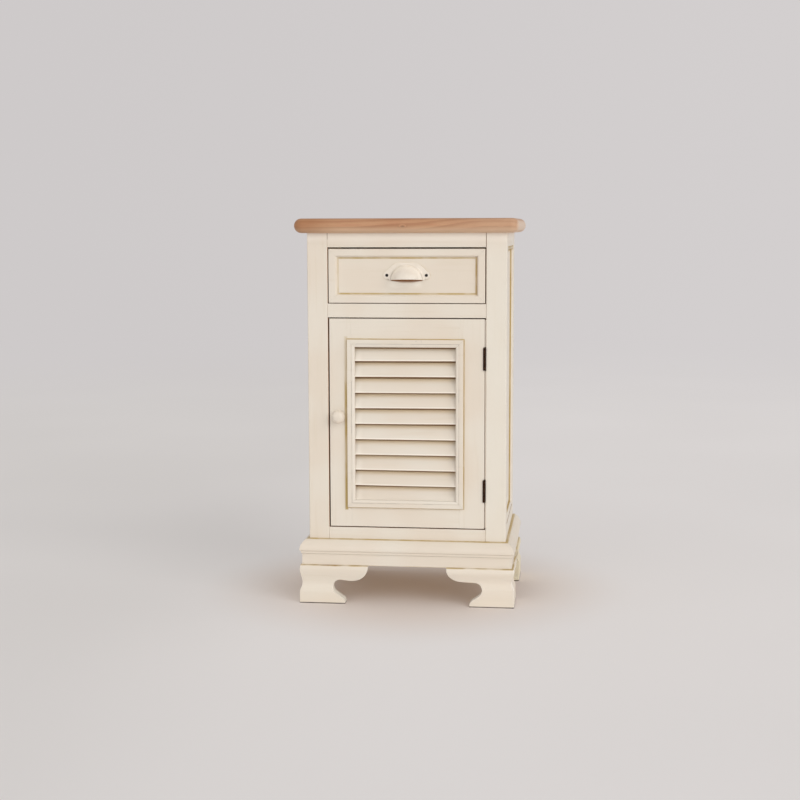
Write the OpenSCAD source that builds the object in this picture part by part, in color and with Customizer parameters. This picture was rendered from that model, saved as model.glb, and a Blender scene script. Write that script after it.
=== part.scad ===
// Painted bedside cabinet: one drawer over a louvred door, on ogee bracket feet.
// Millimetres. +Z up, the front faces -Y, the origin is under the middle of the floor print.

/* [Overall] */
// Height from the floor to the top of the top board
total_h = 702; // [620:5:800]
// Width across the outer faces of the corner posts
body_w = 360.4; // [320:0.2:440]
// Depth from the front of the posts to the back
body_d = 278; // [250:1:360]

/* [Top board] */
// Thickness of the top board
top_t = 26; // [20:1:32]
// Overhang of the top board past each side
top_side_overhang = 21.8; // [19:0.2:30]
// Overhang of the top board past the front
top_front_overhang = 22; // [22:1:32]
// Radius of the top board's front corners, seen from above
top_corner_r = 16; // [10:1:30]

/* [Posts and rails] */
// Width of a corner post, seen from the front
post_w = 37.2; // [32:0.2:46]
// Depth of a corner post, seen from the side
post_d = 38; // [32:1:46]
// Radius of the posts' eased edges
post_edge_r = 2; // [1:0.5:3]
// Thickness of the front and back rails
rail_t = 20; // [16:1:24]
// Height of the top rails
top_rail_h = 25.5; // [20:0.5:34]
// Height of the middle rail between drawer and door
middle_rail_h = 25; // [22:1:40]
// Height of the bottom rail that shows above the plinth
bottom_rail_show = 22; // [14:0.2:40]
// Thickness of the side rails
side_rail_t = 20; // [18:1:24]
// Height of the side bottom rails above the feet
side_bottom_rail_h = 74; // [70:1:120]
// Length of a tenon
tenon_l = 12; // [8:1:14]
// Thickness of a tenon
tenon_t = 8; // [6:1:9]
// Height left off a tenon above and below
tenon_shoulder = 8; // [7:0.5:9]
// Clearance of a tenon or a panel edge in its slot, each side
slot_fit = 0.1; // [0.05:0.05:0.3]

/* [Sides and back] */
// Thickness of the side panels
side_panel_t = 8; // [6:0.5:9]
// Depth of the side panels behind the outer face
side_panel_recess = 6; // [5.5:0.5:10]
// Depth of the slots that hold the panels' edges
panel_slot = 6; // [4:0.5:6.5]
// Width and height of the moulding in the side recess
side_moulding_w = 6; // [5:0.5:10]
// Thickness of the moulding in the side recess
side_moulding_t = 5.5; // [4:0.5:5.5]
// Thickness of the back panel
back_panel_t = 6; // [4:0.5:8]
// Depth of the back panel inside the rear face
back_panel_recess = 8; // [6:0.5:8]

/* [Inside] */
// Thickness of the cabinet floor
floor_t = 12; // [9:1:18]
// Thickness of the shelf
shelf_t = 15; // [12:1:20]
// Height of the shelf's top above the cabinet floor
shelf_rise = 190; // [140:5:230]
// Distance of the shelf's front edge behind the door
shelf_setback = 8; // [5:1:17]
// Width of a shelf cleat
cleat_w = 12; // [8:1:16]
// Height of a shelf cleat
cleat_h = 16; // [10:1:24]
// Gap round the shelf
shelf_fit = 0.5; // [0.2:0.1:1]

/* [Plinth] */
// Height of the plinth moulding
plinth_h = 47; // [40:0.5:60]
// Furthest reach of the plinth's nose
plinth_reach = 16.5; // [14:0.5:18]
// Thickness of the plinth's flat frieze
plinth_frieze_t = 11.5; // [8:0.5:12]
// Height of the flat frieze
plinth_frieze_h = 21; // [15:1:26]

/* [Feet] */
// Height of the feet
foot_h = 71; // [60:1:90]
// Furthest reach of a foot past the posts
foot_reach = 16.5; // [13:0.5:18]
// Thickness of a bracket, from its furthest reach
foot_t = 20; // [20:1:28]
// Depth of the waist in the foot's outer face
foot_waist = 4.5; // [2:0.5:7]
// Length of a front bracket along the front
front_bracket_l = 123.5; // [115:0.5:150]
// Length of a side bracket along the side
side_bracket_l = 112; // [108:1:125]
// Length of the foot's toe along the floor
foot_toe_l = 81; // [70:0.5:90]
// Thickness of a rear foot brace
rear_brace_t = 15; // [10:1:20]
// Length of a rear foot brace
rear_brace_l = 90; // [70:1:120]
// Side of a glue block
block_side = 28; // [20:1:30]
// Height of the glue blocks above the floor
block_lift = 3; // [1:1:10]

/* [Drawer] */
// Height of the drawer opening
drawer_open_h = 101; // [85:1:130]
// Gap above the drawer front
drawer_gap_top = 2.7; // [1:0.1:4]
// Gap below the drawer front
drawer_gap_bottom = 1.3; // [1:0.1:3]
// Gap at each side of the drawer front
drawer_gap_side = 1.6; // [1:0.1:3]
// Thickness of the drawer front behind its border
drawer_front_t = 15; // [12:1:16]
// Width of the drawer's border moulding
border_w = 16.5; // [12.5:0.5:20]
// Width of the flat part of the border moulding
border_flat_w = 12; // [6:0.5:12]
// Thickness of the border moulding
border_t = 5; // [3:0.5:6]
// Thickness of the drawer sides and back
drawer_side_t = 12; // [10:1:15]
// Height of the drawer sides
drawer_side_h = 83; // [60:1:84]
// Gap between a drawer side and the posts
drawer_side_gap = 2; // [1:0.1:3]
// Running gap under the drawer sides
drawer_run_gap = 0.3; // [0.3:0.1:1]
// Gap between the drawer and the back panel
drawer_back_gap = 0.5; // [0.3:0.1:5]
// Thickness of the drawer bottom
drawer_bottom_t = 6; // [4:0.5:8]
// Height of the drawer bottom above the sides' lower edge
drawer_bottom_lift = 8; // [5:1:14]
// Depth of the slots that hold the drawer bottom
drawer_slot = 5; // [3:0.5:7]
// Width of a runner under a drawer side
runner_w = 22; // [16:1:30]
// Height of a runner
runner_h = 18; // [12:1:24]
// Thickness of the guide on a runner
guide_t = 12; // [8:1:14]
// Height of the guide above the runner
guide_h = 28; // [15:1:40]
// Gap between a drawer side and the kicker above it
kicker_gap = 1.5; // [1:0.1:4]

/* [Cup pull] */
// Width of the cup
cup_w = 57.5; // [45:0.5:62]
// Reach of the cup in front of the drawer's field
cup_reach = 26; // [20:0.5:26.5]
// Wall of the cup and its plate
cup_wall = 1.6; // [1.2:0.1:2.2]
// Height of the plate
plate_h = 31.6; // [29:0.1:36]
// Distance between the two screws
pull_screw_gap = 71.4; // [66:0.2:80]
// Height of the screws above the plate's lower edge
pull_screw_rise = 8.4; // [7:0.2:11]
// Radius of the plate's ends
plate_end_r = 7; // [5:0.5:8]
// Height of the plate's lower edge above the drawer opening
pull_rise = 42.5; // [34:0.5:50]
// Radius of a pull screw's head
pull_head_r = 2.7; // [2:0.1:3.5]
// Radius of a pull screw's shank
pull_shank_r = 1.5; // [1:0.1:1.9]
// Length of a pull screw behind the plate
pull_shank_l = 12; // [8:1:14]

/* [Door] */
// Thickness of the door
door_t = 20; // [18:1:20]
// Gap above the door
door_gap_top = 2; // [1:0.1:4]
// Gap below the door
door_gap_bottom = 2; // [1:0.1:4]
// Gap at the knob side of the door
door_gap_knob = 2.6; // [1:0.1:4]
// Gap at the hinge side of the door
door_gap_hinge = 2; // [1.8:0.1:2.2]
// Distance from the door's top to the moulding
louvre_margin_top = 37.5; // [28:0.5:60]
// Distance from the door's bottom to the moulding
louvre_margin_bottom = 36; // [26:0.2:60]
// Distance from the knob edge of the door to the moulding
louvre_margin_knob = 32.4; // [27:0.1:50]
// Distance from the hinge edge of the door to the moulding
louvre_margin_hinge = 37.8; // [30:0.2:50]
// Width of the louvre moulding
louvre_moulding_w = 14; // [10:0.5:18]
// Reach of the louvre moulding in front of the door
louvre_moulding_t = 5.5; // [4:0.5:8]
// Width of the louvre moulding that lies on the door frame
louvre_cover = 7; // [4:0.5:8]

/* [Louvre slats] */
// Spacing of the slats that the opening is divided by
slat_pitch = 28.4; // [22:0.2:36]
// Height of the top slat that shows
slat_top_show = 26; // [20:0.1:30]
// Thickness of a slat
slat_t = 6; // [4:0.5:8]
// Width of a slat from edge to edge
slat_w = 38; // [32:1:41]
// Tilt of a slat from upright
slat_tilt = 22; // [12:1:24]
// Depth of a slat's end in the stile
slat_housing = 4; // [2:0.5:6]
// Depth of the lowest slat's edge below the moulding's edge
slat_edge_drop = 3.5; // [0:0.1:5]

/* [Knob] */
// Diameter of the knob
knob_d = 24; // [20:1:34]
// Reach of the knob in front of the door
knob_reach = 21.5; // [18:0.5:21.5]
// Diameter of the knob's neck
knob_neck_d = 12; // [10:1:18]
// Distance of the knob's axis from the knob edge of the door
knob_inset = 16.9; // [16:0.1:24]
// Height of the knob above the door's lower edge
knob_rise = 203; // [120:0.5:260]
// Radius of the knob screw's shank
knob_screw_r = 2; // [1.5:0.1:2.5]
// Length of the knob screw in the knob
knob_screw_grip = 10; // [6:1:14]

/* [Hinges] */
// Length of a hinge
hinge_l = 39; // [34:0.2:50]
// Outer radius of the hinge barrel
barrel_r = 2.2; // [2:0.05:2.3]
// Radius of the hinge pin
hinge_pin_r = 1; // [0.8:0.05:1.2]
// Radial clearance of the pin in the knuckles
hinge_pin_fit = 0.05; // [0.02:0.01:0.08]
// Gap between knuckles
knuckle_gap = 0.3; // [0.2:0.05:0.5]
// Thickness of a hinge leaf
leaf_t = 0.9; // [0.6:0.05:0.9]
// Width of a hinge leaf from the axis
leaf_w = 15; // [12:0.5:17]
// Distance of the hinge axis from the post
hinge_inset = 2.5; // [2.4:0.05:2.6]
// Distance of the hinge axis in front of the face
hinge_proud = 1; // [0.6:0.1:1.2]
// Distance of the upper hinge's top below the door's top
hinge_top_drop = 52; // [30:0.1:80]
// Height of the lower hinge's bottom above the door's bottom
hinge_bottom_rise = 49.5; // [30:0.1:80]
// Radius of a hinge screw's head
hinge_head_r = 2.3; // [1.8:0.1:2.6]
// Radius of a hinge screw's shank
hinge_shank_r = 1.2; // [0.8:0.1:1.5]
// Length of a hinge screw's shank
hinge_shank_l = 12; // [8:1:16]

/* [Catch] */
// Width of the catch from the post
catch_w = 14; // [10:1:18]
// Depth of the catch
catch_d = 15; // [10:1:16]
// Height of the catch
catch_h = 32; // [20:1:40]
// Distance of the catch's top below the door's top
catch_drop = 12; // [8:1:60]
// Thickness of the plate on the door
catch_plate_t = 0.8; // [0.6:0.1:1.2]
// Gap between the catch and its plate with the door shut
catch_gap = 0.3; // [0.3:0.1:1]

/* [Hidden] */

cream = [0.90, 0.86, 0.79];
cream_shade = [0.87, 0.82, 0.73];
bare_wood = [0.74, 0.55, 0.41];
pale_wood = [0.80, 0.68, 0.52];
dark_metal = [0.16, 0.11, 0.09];
grey_metal = [0.62, 0.62, 0.63];

$fn = 48;
// Overlap of cutting shapes past the surface that they cut
cut = 1;
// Hairline between mitred strips
mitre_gap = 0.1;

half_w = body_w / 2;
face_y = (top_front_overhang - body_d) / 2;
back_y = face_y + body_d;
open_x = half_w - post_w;
front_post_back_y = face_y + post_d;
rear_post_front_y = back_y - post_d;
front_rail_back_y = face_y + rail_t;
back_rail_front_y = back_y - rail_t;
side_rail_x = half_w - side_rail_t;
side_run = rear_post_front_y - front_post_back_y;

top_z = total_h - top_t;
top_rail_z = top_z - top_rail_h;
drawer_open_z = top_rail_z - drawer_open_h;
middle_rail_z = drawer_open_z - middle_rail_h;
plinth_top_z = foot_h + plinth_h;
door_open_z = plinth_top_z + bottom_rail_show;
post_h = top_z - foot_h;
bottom_rail_h = door_open_z - foot_h;
side_bottom_rail_z = foot_h + side_bottom_rail_h;

side_panel_out_x = half_w - side_panel_recess;
side_panel_in_x = side_panel_out_x - side_panel_t;
back_panel_y = back_y - back_panel_recess - back_panel_t;

shelf_top_z = door_open_z + shelf_rise;
shelf_front_y = face_y + door_t + shelf_setback;

field_y = face_y + border_t;
drawer_front_back_y = field_y + drawer_front_t;
drawer_front_x = open_x - drawer_gap_side;
drawer_front_z = drawer_open_z + drawer_gap_bottom;
drawer_front_h = drawer_open_h - drawer_gap_bottom - drawer_gap_top;
drawer_side_x = open_x - drawer_side_gap;
drawer_side_z = drawer_open_z + drawer_run_gap;
drawer_end_y = back_panel_y - drawer_back_gap;
drawer_box_l = drawer_end_y - drawer_front_back_y;
drawer_bottom_z = drawer_side_z + drawer_bottom_lift;
kicker_z = drawer_side_z + drawer_side_h + kicker_gap;

pull_z = drawer_open_z + pull_rise;

door_back_y = face_y + door_t;
door_mid_y = face_y + door_t / 2;
door_x0 = door_gap_knob - open_x;
door_x1 = open_x - door_gap_hinge;
door_z0 = door_open_z + door_gap_bottom;
door_z1 = middle_rail_z - door_gap_top;
door_h = door_z1 - door_z0;
moulding_x0 = door_x0 + louvre_margin_knob;
moulding_x1 = door_x1 - louvre_margin_hinge;
moulding_z0 = door_z0 + louvre_margin_bottom;
moulding_z1 = door_z1 - louvre_margin_top;
frame_x0 = moulding_x0 + louvre_cover;
frame_x1 = moulding_x1 - louvre_cover;
frame_z0 = moulding_z0 + louvre_cover;
frame_z1 = moulding_z1 - louvre_cover;
sight_z0 = moulding_z0 + louvre_moulding_w;
sight_z1 = moulding_z1 - louvre_moulding_w;
slat_count = max(2, round((sight_z1 - sight_z0) / slat_pitch));
slat_step = (sight_z1 - sight_z0 + slat_edge_drop - slat_top_show) / (slat_count - 1);
slat_core = (slat_w - slat_t) / 2;

knob_x = door_x0 + knob_inset;
knob_z = door_z0 + knob_rise;

hinge_x = open_x - hinge_inset;
hinge_y = face_y - hinge_proud;
hinge_upper_z = door_z1 - hinge_top_drop - hinge_l;
hinge_lower_z = door_z0 + hinge_bottom_rise;
hinge_starts = [hinge_lower_z, hinge_upper_z];
knuckle_l = (hinge_l - 2 * knuckle_gap) / 3;
pin_head_r = hinge_pin_r + 0.6;
pin_head_t = 0.8;
// The door's leaf starts in the middle of the knuckle's wall
leaf_root = (hinge_pin_r + hinge_pin_fit + barrel_r) / 2;
// Free space round the barrel in the other leaf and in the door's edge
knuckle_clear = 0.25;
notch_clear = 0.5;
// Screws stand a quarter of the hinge's length from its ends
hinge_screw_rises = [hinge_l / 4, hinge_l * 3 / 4];
hinge_screw_y = hinge_y + leaf_w * 0.62;

catch_front_y = door_back_y + catch_plate_t + catch_gap;
catch_z = door_z1 - catch_drop - catch_h;

// Point on an arc, and a list of points along one
function arc(cx, cy, r, from, to, steps) =
    [for (i = [0:steps]) let (a = from + (to - from) * i / steps) [cx + r * cos(a), cy + r * sin(a)]];
// Ease from a to b as t goes from 0 to 1
function ease(a, b, t) = a + (b - a) * (1 - cos(180 * t)) / 2;

// Rectangle with four rounded corners, from the origin
module eased_rect(w, d, r) {
    translate([r, 0]) square([w - 2 * r, d]);
    translate([0, r]) square([w, d - 2 * r]);
    for (x = [r, w - r], y = [r, d - r])
        translate([x, y]) circle(r);
}

// Strip along X with 45 degree ends: outer edge on the X axis, inner edge at y = width.
// The child is its section: across in x, height in y.
module mitred_strip(length, width, height) {
    intersection() {
        rotate([90, 0, 90]) linear_extrude(length) children();
        linear_extrude(height)
            polygon([
                [mitre_gap, 0], [length - mitre_gap, 0],
                [length - width - mitre_gap, width], [width + mitre_gap, width]
            ]);
    }
}

// Four strips round a rectangle that starts at the origin
module mitred_frame(w, h, width, height) {
    mitred_strip(w, width, height) children();
    translate([w, 0, 0]) rotate(90) mitred_strip(h, width, height) children();
    translate([w, h, 0]) rotate(180) mitred_strip(w, width, height) children();
    translate([0, h, 0]) rotate(270) mitred_strip(h, width, height) children();
}

// Tenons at both ends of a rail across the cabinet, grown by fit for the slot
module cross_tenons(rail_y, z, h, fit) {
    reach = open_x + tenon_l + fit;
    translate([-reach, rail_y + (rail_t - tenon_t) / 2 - fit, z + tenon_shoulder - fit])
        cube([2 * reach, tenon_t + 2 * fit, h - 2 * tenon_shoulder + 2 * fit]);
}

// Tenons at both ends of a right-hand side rail, grown by fit for the slot
module side_tenons(z, h, fit) {
    translate([
        side_rail_x + (side_rail_t - tenon_t) / 2 - fit,
        front_post_back_y - tenon_l - fit,
        z + tenon_shoulder - fit
    ])
        cube([
            tenon_t + 2 * fit,
            side_run + 2 * (tenon_l + fit),
            h - 2 * tenon_shoulder + 2 * fit
        ]);
}

// Right-hand side panel, grown by fit for the slot
module side_panel_blank(fit) {
    translate([
        side_panel_in_x - fit,
        front_post_back_y - panel_slot - fit,
        side_bottom_rail_z - panel_slot - fit
    ])
        cube([
            side_panel_t + 2 * fit,
            side_run + 2 * (panel_slot + fit),
            top_rail_z - side_bottom_rail_z + 2 * (panel_slot + fit)
        ]);
}

// Back panel, grown by fit for the slot
module back_panel_blank(fit) {
    translate([
        -open_x - panel_slot - fit, back_panel_y - fit, door_open_z - panel_slot - fit
    ])
        cube([
            2 * (open_x + panel_slot + fit),
            back_panel_t + 2 * fit,
            top_rail_z - door_open_z + 2 * (panel_slot + fit)
        ]);
}

// Rail across the cabinet between the posts, with its tenons
module cross_rail(rail_y, z, h) {
    translate([-open_x, rail_y, z]) cube([2 * open_x, rail_t, h]);
    cross_tenons(rail_y, z, h, 0);
}

module post_blank(y) {
    translate([open_x, y, foot_h])
        linear_extrude(post_h) eased_rect(post_w, post_d, post_edge_r);
}

module front_post() {
    difference() {
        post_blank(face_y);
        cross_tenons(face_y, top_rail_z, top_rail_h, slot_fit);
        cross_tenons(face_y, middle_rail_z, middle_rail_h, slot_fit);
        cross_tenons(face_y, foot_h, bottom_rail_h, slot_fit);
        side_tenons(top_rail_z, top_rail_h, slot_fit);
        side_tenons(foot_h, side_bottom_rail_h, slot_fit);
        side_panel_blank(slot_fit);
    }
}

module rear_post() {
    difference() {
        post_blank(rear_post_front_y);
        cross_tenons(back_rail_front_y, top_rail_z, top_rail_h, slot_fit);
        cross_tenons(back_rail_front_y, foot_h, bottom_rail_h, slot_fit);
        side_tenons(top_rail_z, top_rail_h, slot_fit);
        side_tenons(foot_h, side_bottom_rail_h, slot_fit);
        side_panel_blank(slot_fit);
        back_panel_blank(slot_fit);
    }
}

module front_post_left() {
    color(cream) mirror([1, 0, 0]) front_post();
}

module front_post_right() {
    color(cream) difference() {
        front_post();
        hinge_screw_set(1, slot_fit);
    }
}

module rear_post_left() {
    color(cream) mirror([1, 0, 0]) rear_post();
}

module rear_post_right() {
    color(cream) rear_post();
}

module top_rail() {
    color(cream) cross_rail(face_y, top_rail_z, top_rail_h);
}

module middle_rail() {
    color(cream) cross_rail(face_y, middle_rail_z, middle_rail_h);
}

module bottom_rail() {
    color(cream) cross_rail(face_y, foot_h, bottom_rail_h);
}

module side_rail(z, h) {
    difference() {
        union() {
            translate([side_rail_x, front_post_back_y, z]) cube([side_rail_t, side_run, h]);
            side_tenons(z, h, 0);
        }
        side_panel_blank(slot_fit);
    }
}

module side_top_rail_left() {
    color(cream) mirror([1, 0, 0]) side_rail(top_rail_z, top_rail_h);
}

module side_top_rail_right() {
    color(cream) side_rail(top_rail_z, top_rail_h);
}

module side_bottom_rail_left() {
    color(cream) mirror([1, 0, 0]) side_rail(foot_h, side_bottom_rail_h);
}

module side_bottom_rail_right() {
    color(cream) side_rail(foot_h, side_bottom_rail_h);
}

module side_panel_left() {
    color(cream_shade) mirror([1, 0, 0]) side_panel_blank(0);
}

module side_panel_right() {
    color(cream_shade) side_panel_blank(0);
}

// Section of the recess moulding: a quarter round with a flat back and outer edge
module side_moulding_section() {
    intersection() {
        square([side_moulding_w, side_moulding_t]);
        circle(max(side_moulding_w, side_moulding_t));
    }
}

module side_moulding() {
    translate([side_panel_out_x, front_post_back_y, side_bottom_rail_z])
        rotate([90, 0, 90])
            mitred_frame(
                side_run, top_rail_z - side_bottom_rail_z, side_moulding_w, side_moulding_t
            )
                side_moulding_section();
}

module side_moulding_left() {
    color(cream) mirror([1, 0, 0]) side_moulding();
}

module side_moulding_right() {
    color(cream) side_moulding();
}

module back_panel() {
    color(pale_wood) back_panel_blank(0);
}

module back_top_rail() {
    color(cream_shade) difference() {
        cross_rail(back_rail_front_y, top_rail_z, top_rail_h);
        back_panel_blank(slot_fit);
    }
}

module back_bottom_rail() {
    color(cream_shade) difference() {
        cross_rail(back_rail_front_y, foot_h, bottom_rail_h);
        back_panel_blank(slot_fit);
    }
}

// Board between the four posts, cut round them; wide is its half width between them
module notched_board(wide, y0, y1, z, t, fit) {
    narrow = open_x - fit;
    translate([0, 0, z])
        linear_extrude(t) {
            translate([-narrow, y0]) square([2 * narrow, y1 - y0]);
            translate([-wide + fit, front_post_back_y + fit])
                square([2 * (wide - fit), side_run - 2 * fit]);
        }
}

module cabinet_floor() {
    color(pale_wood)
        notched_board(
            side_rail_x, front_rail_back_y, back_rail_front_y, door_open_z - floor_t, floor_t, 0
        );
}

module shelf() {
    color(pale_wood)
        notched_board(
            side_panel_in_x, shelf_front_y, back_panel_y - shelf_fit,
            shelf_top_z - shelf_t, shelf_t, shelf_fit
        );
}

module shelf_cleats() {
    color(pale_wood) for (side = [0, 1])
        mirror([side, 0, 0])
            translate([
                side_panel_in_x - cleat_w, front_post_back_y, shelf_top_z - shelf_t - cleat_h
            ])
                cube([cleat_w, side_run, cleat_h]);
}

// Runner with a guide that stands between the posts, flush with their inner faces
module drawer_runner() {
    translate([open_x - runner_w, front_rail_back_y, drawer_open_z - runner_h])
        cube([runner_w, back_panel_y - front_rail_back_y, runner_h]);
    translate([open_x - cut, front_post_back_y, drawer_open_z - runner_h])
        cube([guide_t + cut, side_run, runner_h]);
    translate([open_x, front_post_back_y, drawer_open_z - cut])
        cube([guide_t, side_run, guide_h + cut]);
}

module drawer_runner_left() {
    color(pale_wood) mirror([1, 0, 0]) drawer_runner();
}

module drawer_runner_right() {
    color(pale_wood) drawer_runner();
}

// Bars under the top board that stop the open drawer from tipping
module drawer_kickers() {
    color(pale_wood) for (side = [0, 1])
        mirror([side, 0, 0])
            translate([open_x - runner_w, front_rail_back_y, kicker_z])
                cube([runner_w, back_rail_front_y - front_rail_back_y, top_z - kicker_z]);
}

// Top board with a half-round edge at the front and both sides
module top_board() {
    half_top = half_w + top_side_overhang;
    front = face_y - top_front_overhang;
    depth = back_y - front;
    nose_r = top_t / 2;
    color(bare_wood) intersection() {
        translate([0, back_y, top_z]) rotate([90, 0, 0]) linear_extrude(depth) {
            translate([nose_r - half_top, 0]) square([2 * (half_top - nose_r), top_t]);
            for (side = [-1, 1])
                translate([side * (half_top - nose_r), nose_r]) circle(nose_r);
        }
        translate([-half_top, 0, top_z]) rotate([90, 0, 90]) linear_extrude(2 * half_top) {
            translate([front + nose_r, 0]) square([depth - nose_r, top_t]);
            translate([front + nose_r, nose_r]) circle(nose_r);
        }
        translate([0, 0, top_z]) linear_extrude(top_t) {
            translate([-half_top, front + top_corner_r])
                square([2 * half_top, depth - top_corner_r]);
            translate([top_corner_r - half_top, front])
                square([2 * (half_top - top_corner_r), depth]);
            for (side = [-1, 1])
                translate([side * (half_top - top_corner_r), front + top_corner_r])
                    circle(top_corner_r);
        }
    }
}

// Plinth section: reach in x, height above the feet in y
module plinth_section() {
    fillet_t = plinth_frieze_t + 2.2;
    fillet_h = 5;
    nose_h = plinth_frieze_h + fillet_h;
    nose_bevel_w = 1;
    nose_bevel_h = 2.5;
    round_h = nose_h + nose_bevel_h;
    lip_t = 2;
    polygon([
        [0, 0], [plinth_frieze_t, 0], [plinth_frieze_t, plinth_frieze_h],
        [fillet_t, plinth_frieze_h], [fillet_t, nose_h], [plinth_reach - nose_bevel_w, nose_h],
        for (i = [0:8])
            [lip_t + (plinth_reach - lip_t) * cos(90 * i / 8),
             round_h + (plinth_h - round_h) * sin(90 * i / 8)],
        [0, plinth_h]
    ]);
}

// Front plinth piece, mitred at both ends
module plinth_front() {
    color(cream) intersection() {
        translate([-half_w - plinth_reach, face_y, foot_h])
            rotate([90, 0, 90])
                linear_extrude(2 * (half_w + plinth_reach))
                    mirror([1, 0]) plinth_section();
        translate([0, face_y, foot_h])
            linear_extrude(plinth_h)
                polygon([
                    [-half_w, 0], [half_w, 0],
                    [half_w + plinth_reach, -plinth_reach], [-half_w - plinth_reach, -plinth_reach]
                ]);
    }
}

// Right-hand plinth piece: mitred at the front, square at the back
module plinth_side() {
    intersection() {
        translate([half_w, back_y, foot_h])
            rotate([90, 0, 0])
                linear_extrude(body_d + plinth_reach) plinth_section();
        translate([half_w, 0, foot_h])
            linear_extrude(plinth_h)
                polygon([
                    [0, face_y], [0, back_y], [plinth_reach, back_y],
                    [plinth_reach, face_y - plinth_reach]
                ]);
    }
}

module plinth_left() {
    color(cream) mirror([1, 0, 0]) plinth_side();
}

module plinth_right() {
    color(cream) plinth_side();
}

// Bracket outline: u runs inwards from the foot's outer edge, v is height
module bracket_outline(length) {
    wing_l = foot_h * 0.465;
    wing_h = foot_h * 0.37;
    cove_r = foot_h * 0.185;
    cove_u = foot_toe_l - foot_h * 0.135;
    cove_v = foot_h * 0.435;
    toe_r = foot_h * 0.15;
    toe_u = foot_toe_l - toe_r;
    polygon([
        [0, 0], [foot_toe_l, 0],
        for (p = arc(toe_u, foot_h / 25, toe_r, 0, 60, 6)) p,
        for (p = arc(cove_u, cove_v, cove_r, 240, 90, 10)) p,
        for (i = [0:10])
            [length - wing_l + wing_l * sin(90 * i / 10), foot_h - wing_h * cos(90 * i / 10)],
        [0, foot_h]
    ]);
}

// Ogee section of the feet: reach in x, height in y, back at foot_reach - foot_t
module ogee_section() {
    heights = [foot_h, foot_h * 0.9, foot_h * 0.62, foot_h * 0.4, 0];
    reaches = [foot_reach - 1.5, foot_reach, foot_reach - foot_waist, foot_reach, foot_reach];
    polygon([
        [foot_reach - foot_t, foot_h],
        for (k = [0:2], i = [0:5])
            [ease(reaches[k], reaches[k + 1], i / 6),
             heights[k] + (heights[k + 1] - heights[k]) * i / 6],
        [foot_reach, heights[3]], [foot_reach, 0], [foot_reach - foot_t, 0]
    ]);
}

// Right-hand front bracket, mitred to the side bracket
module foot_front() {
    outer = half_w + foot_reach;
    mitre_y = face_y - foot_reach;
    color(cream) intersection() {
        translate([0, face_y, 0])
            rotate([90, 0, 90]) linear_extrude(outer) mirror([1, 0]) ogee_section();
        translate([outer, face_y + foot_t, 0])
            rotate([90, 0, 0]) linear_extrude(foot_t + foot_reach + cut)
                mirror([1, 0]) bracket_outline(front_bracket_l);
        linear_extrude(foot_h)
            polygon([
                [0, mitre_y], [outer - mitre_gap, mitre_y],
                [outer - foot_t - mitre_gap, mitre_y + foot_t], [0, mitre_y + foot_t]
            ]);
    }
}

// Right-hand side bracket that starts at the front corner, mitred
module foot_side_front() {
    outer = half_w + foot_reach;
    start = face_y - foot_reach;
    color(cream) intersection() {
        translate([half_w, 0, 0])
            rotate([90, 0, 0]) linear_extrude(-start) ogee_section();
        translate([half_w - foot_t, start, 0])
            rotate([90, 0, 90]) linear_extrude(2 * foot_t) bracket_outline(side_bracket_l);
        linear_extrude(foot_h)
            polygon([
                [outer, start + mitre_gap], [outer, 0], [outer - foot_t, 0],
                [outer - foot_t, start + foot_t + mitre_gap]
            ]);
    }
}

// Right-hand side bracket that ends square at the back
module foot_side_rear() {
    color(cream) intersection() {
        translate([half_w, back_y, 0])
            rotate([90, 0, 0]) linear_extrude(side_bracket_l) ogee_section();
        translate([half_w - foot_t, back_y, 0])
            rotate([90, 0, 90]) linear_extrude(2 * foot_t)
                mirror([1, 0]) bracket_outline(side_bracket_l);
    }
}

module foot_front_left() {
    mirror([1, 0, 0]) foot_front();
}

module foot_front_right() {
    foot_front();
}

module foot_side_front_left() {
    mirror([1, 0, 0]) foot_side_front();
}

module foot_side_front_right() {
    foot_side_front();
}

module foot_side_rear_left() {
    mirror([1, 0, 0]) foot_side_rear();
}

module foot_side_rear_right() {
    foot_side_rear();
}

// Plain board behind a rear foot, tapered towards the middle
module rear_foot_brace() {
    inner = half_w + foot_reach - foot_t;
    color(cream_shade)
        translate([0, back_y, 0]) rotate([90, 0, 0]) linear_extrude(rear_brace_t)
            polygon([
                [inner, 0], [inner, foot_h], [inner - rear_brace_l, foot_h],
                [inner - rear_brace_l, foot_h * 0.75], [inner - rear_brace_l / 2, foot_h / 4],
                [inner - rear_brace_l / 2, 0]
            ]);
}

module rear_foot_brace_left() {
    mirror([1, 0, 0]) rear_foot_brace();
}

module rear_foot_brace_right() {
    rear_foot_brace();
}

// Glue blocks inside the four feet, under the posts
module foot_glue_blocks() {
    inner = half_w + foot_reach - foot_t;
    front = face_y - foot_reach + foot_t;
    rear = back_y - rear_brace_t - block_side;
    color(pale_wood) for (side = [0, 1], y = [front, rear])
        mirror([side, 0, 0])
            translate([inner - block_side, y, block_lift])
                cube([block_side, block_side, foot_h - block_lift]);
}

// Section of the drawer's border: flat outside, hollow slope inside
module border_section() {
    slope = border_w - border_flat_w;
    lip_t = 0.8;
    difference() {
        square([border_w, border_t]);
        translate([border_flat_w, border_t]) rotate(-atan2(border_t - lip_t, slope))
            square([border_w, border_t]);
    }
}

module drawer_border() {
    color(cream)
        translate([-drawer_front_x, field_y, drawer_front_z])
            rotate([90, 0, 0])
                mitred_frame(2 * drawer_front_x, drawer_front_h, border_w, border_t)
                    border_section();
}

// Drawer bottom, grown by fit for its slot
module drawer_bottom_blank(fit) {
    reach = drawer_side_x - drawer_side_t + drawer_slot + fit;
    front = drawer_front_back_y - drawer_slot - fit;
    translate([-reach, front, drawer_bottom_z - fit])
        cube([2 * reach, drawer_end_y - front + fit, drawer_bottom_t + 2 * fit]);
}

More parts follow.
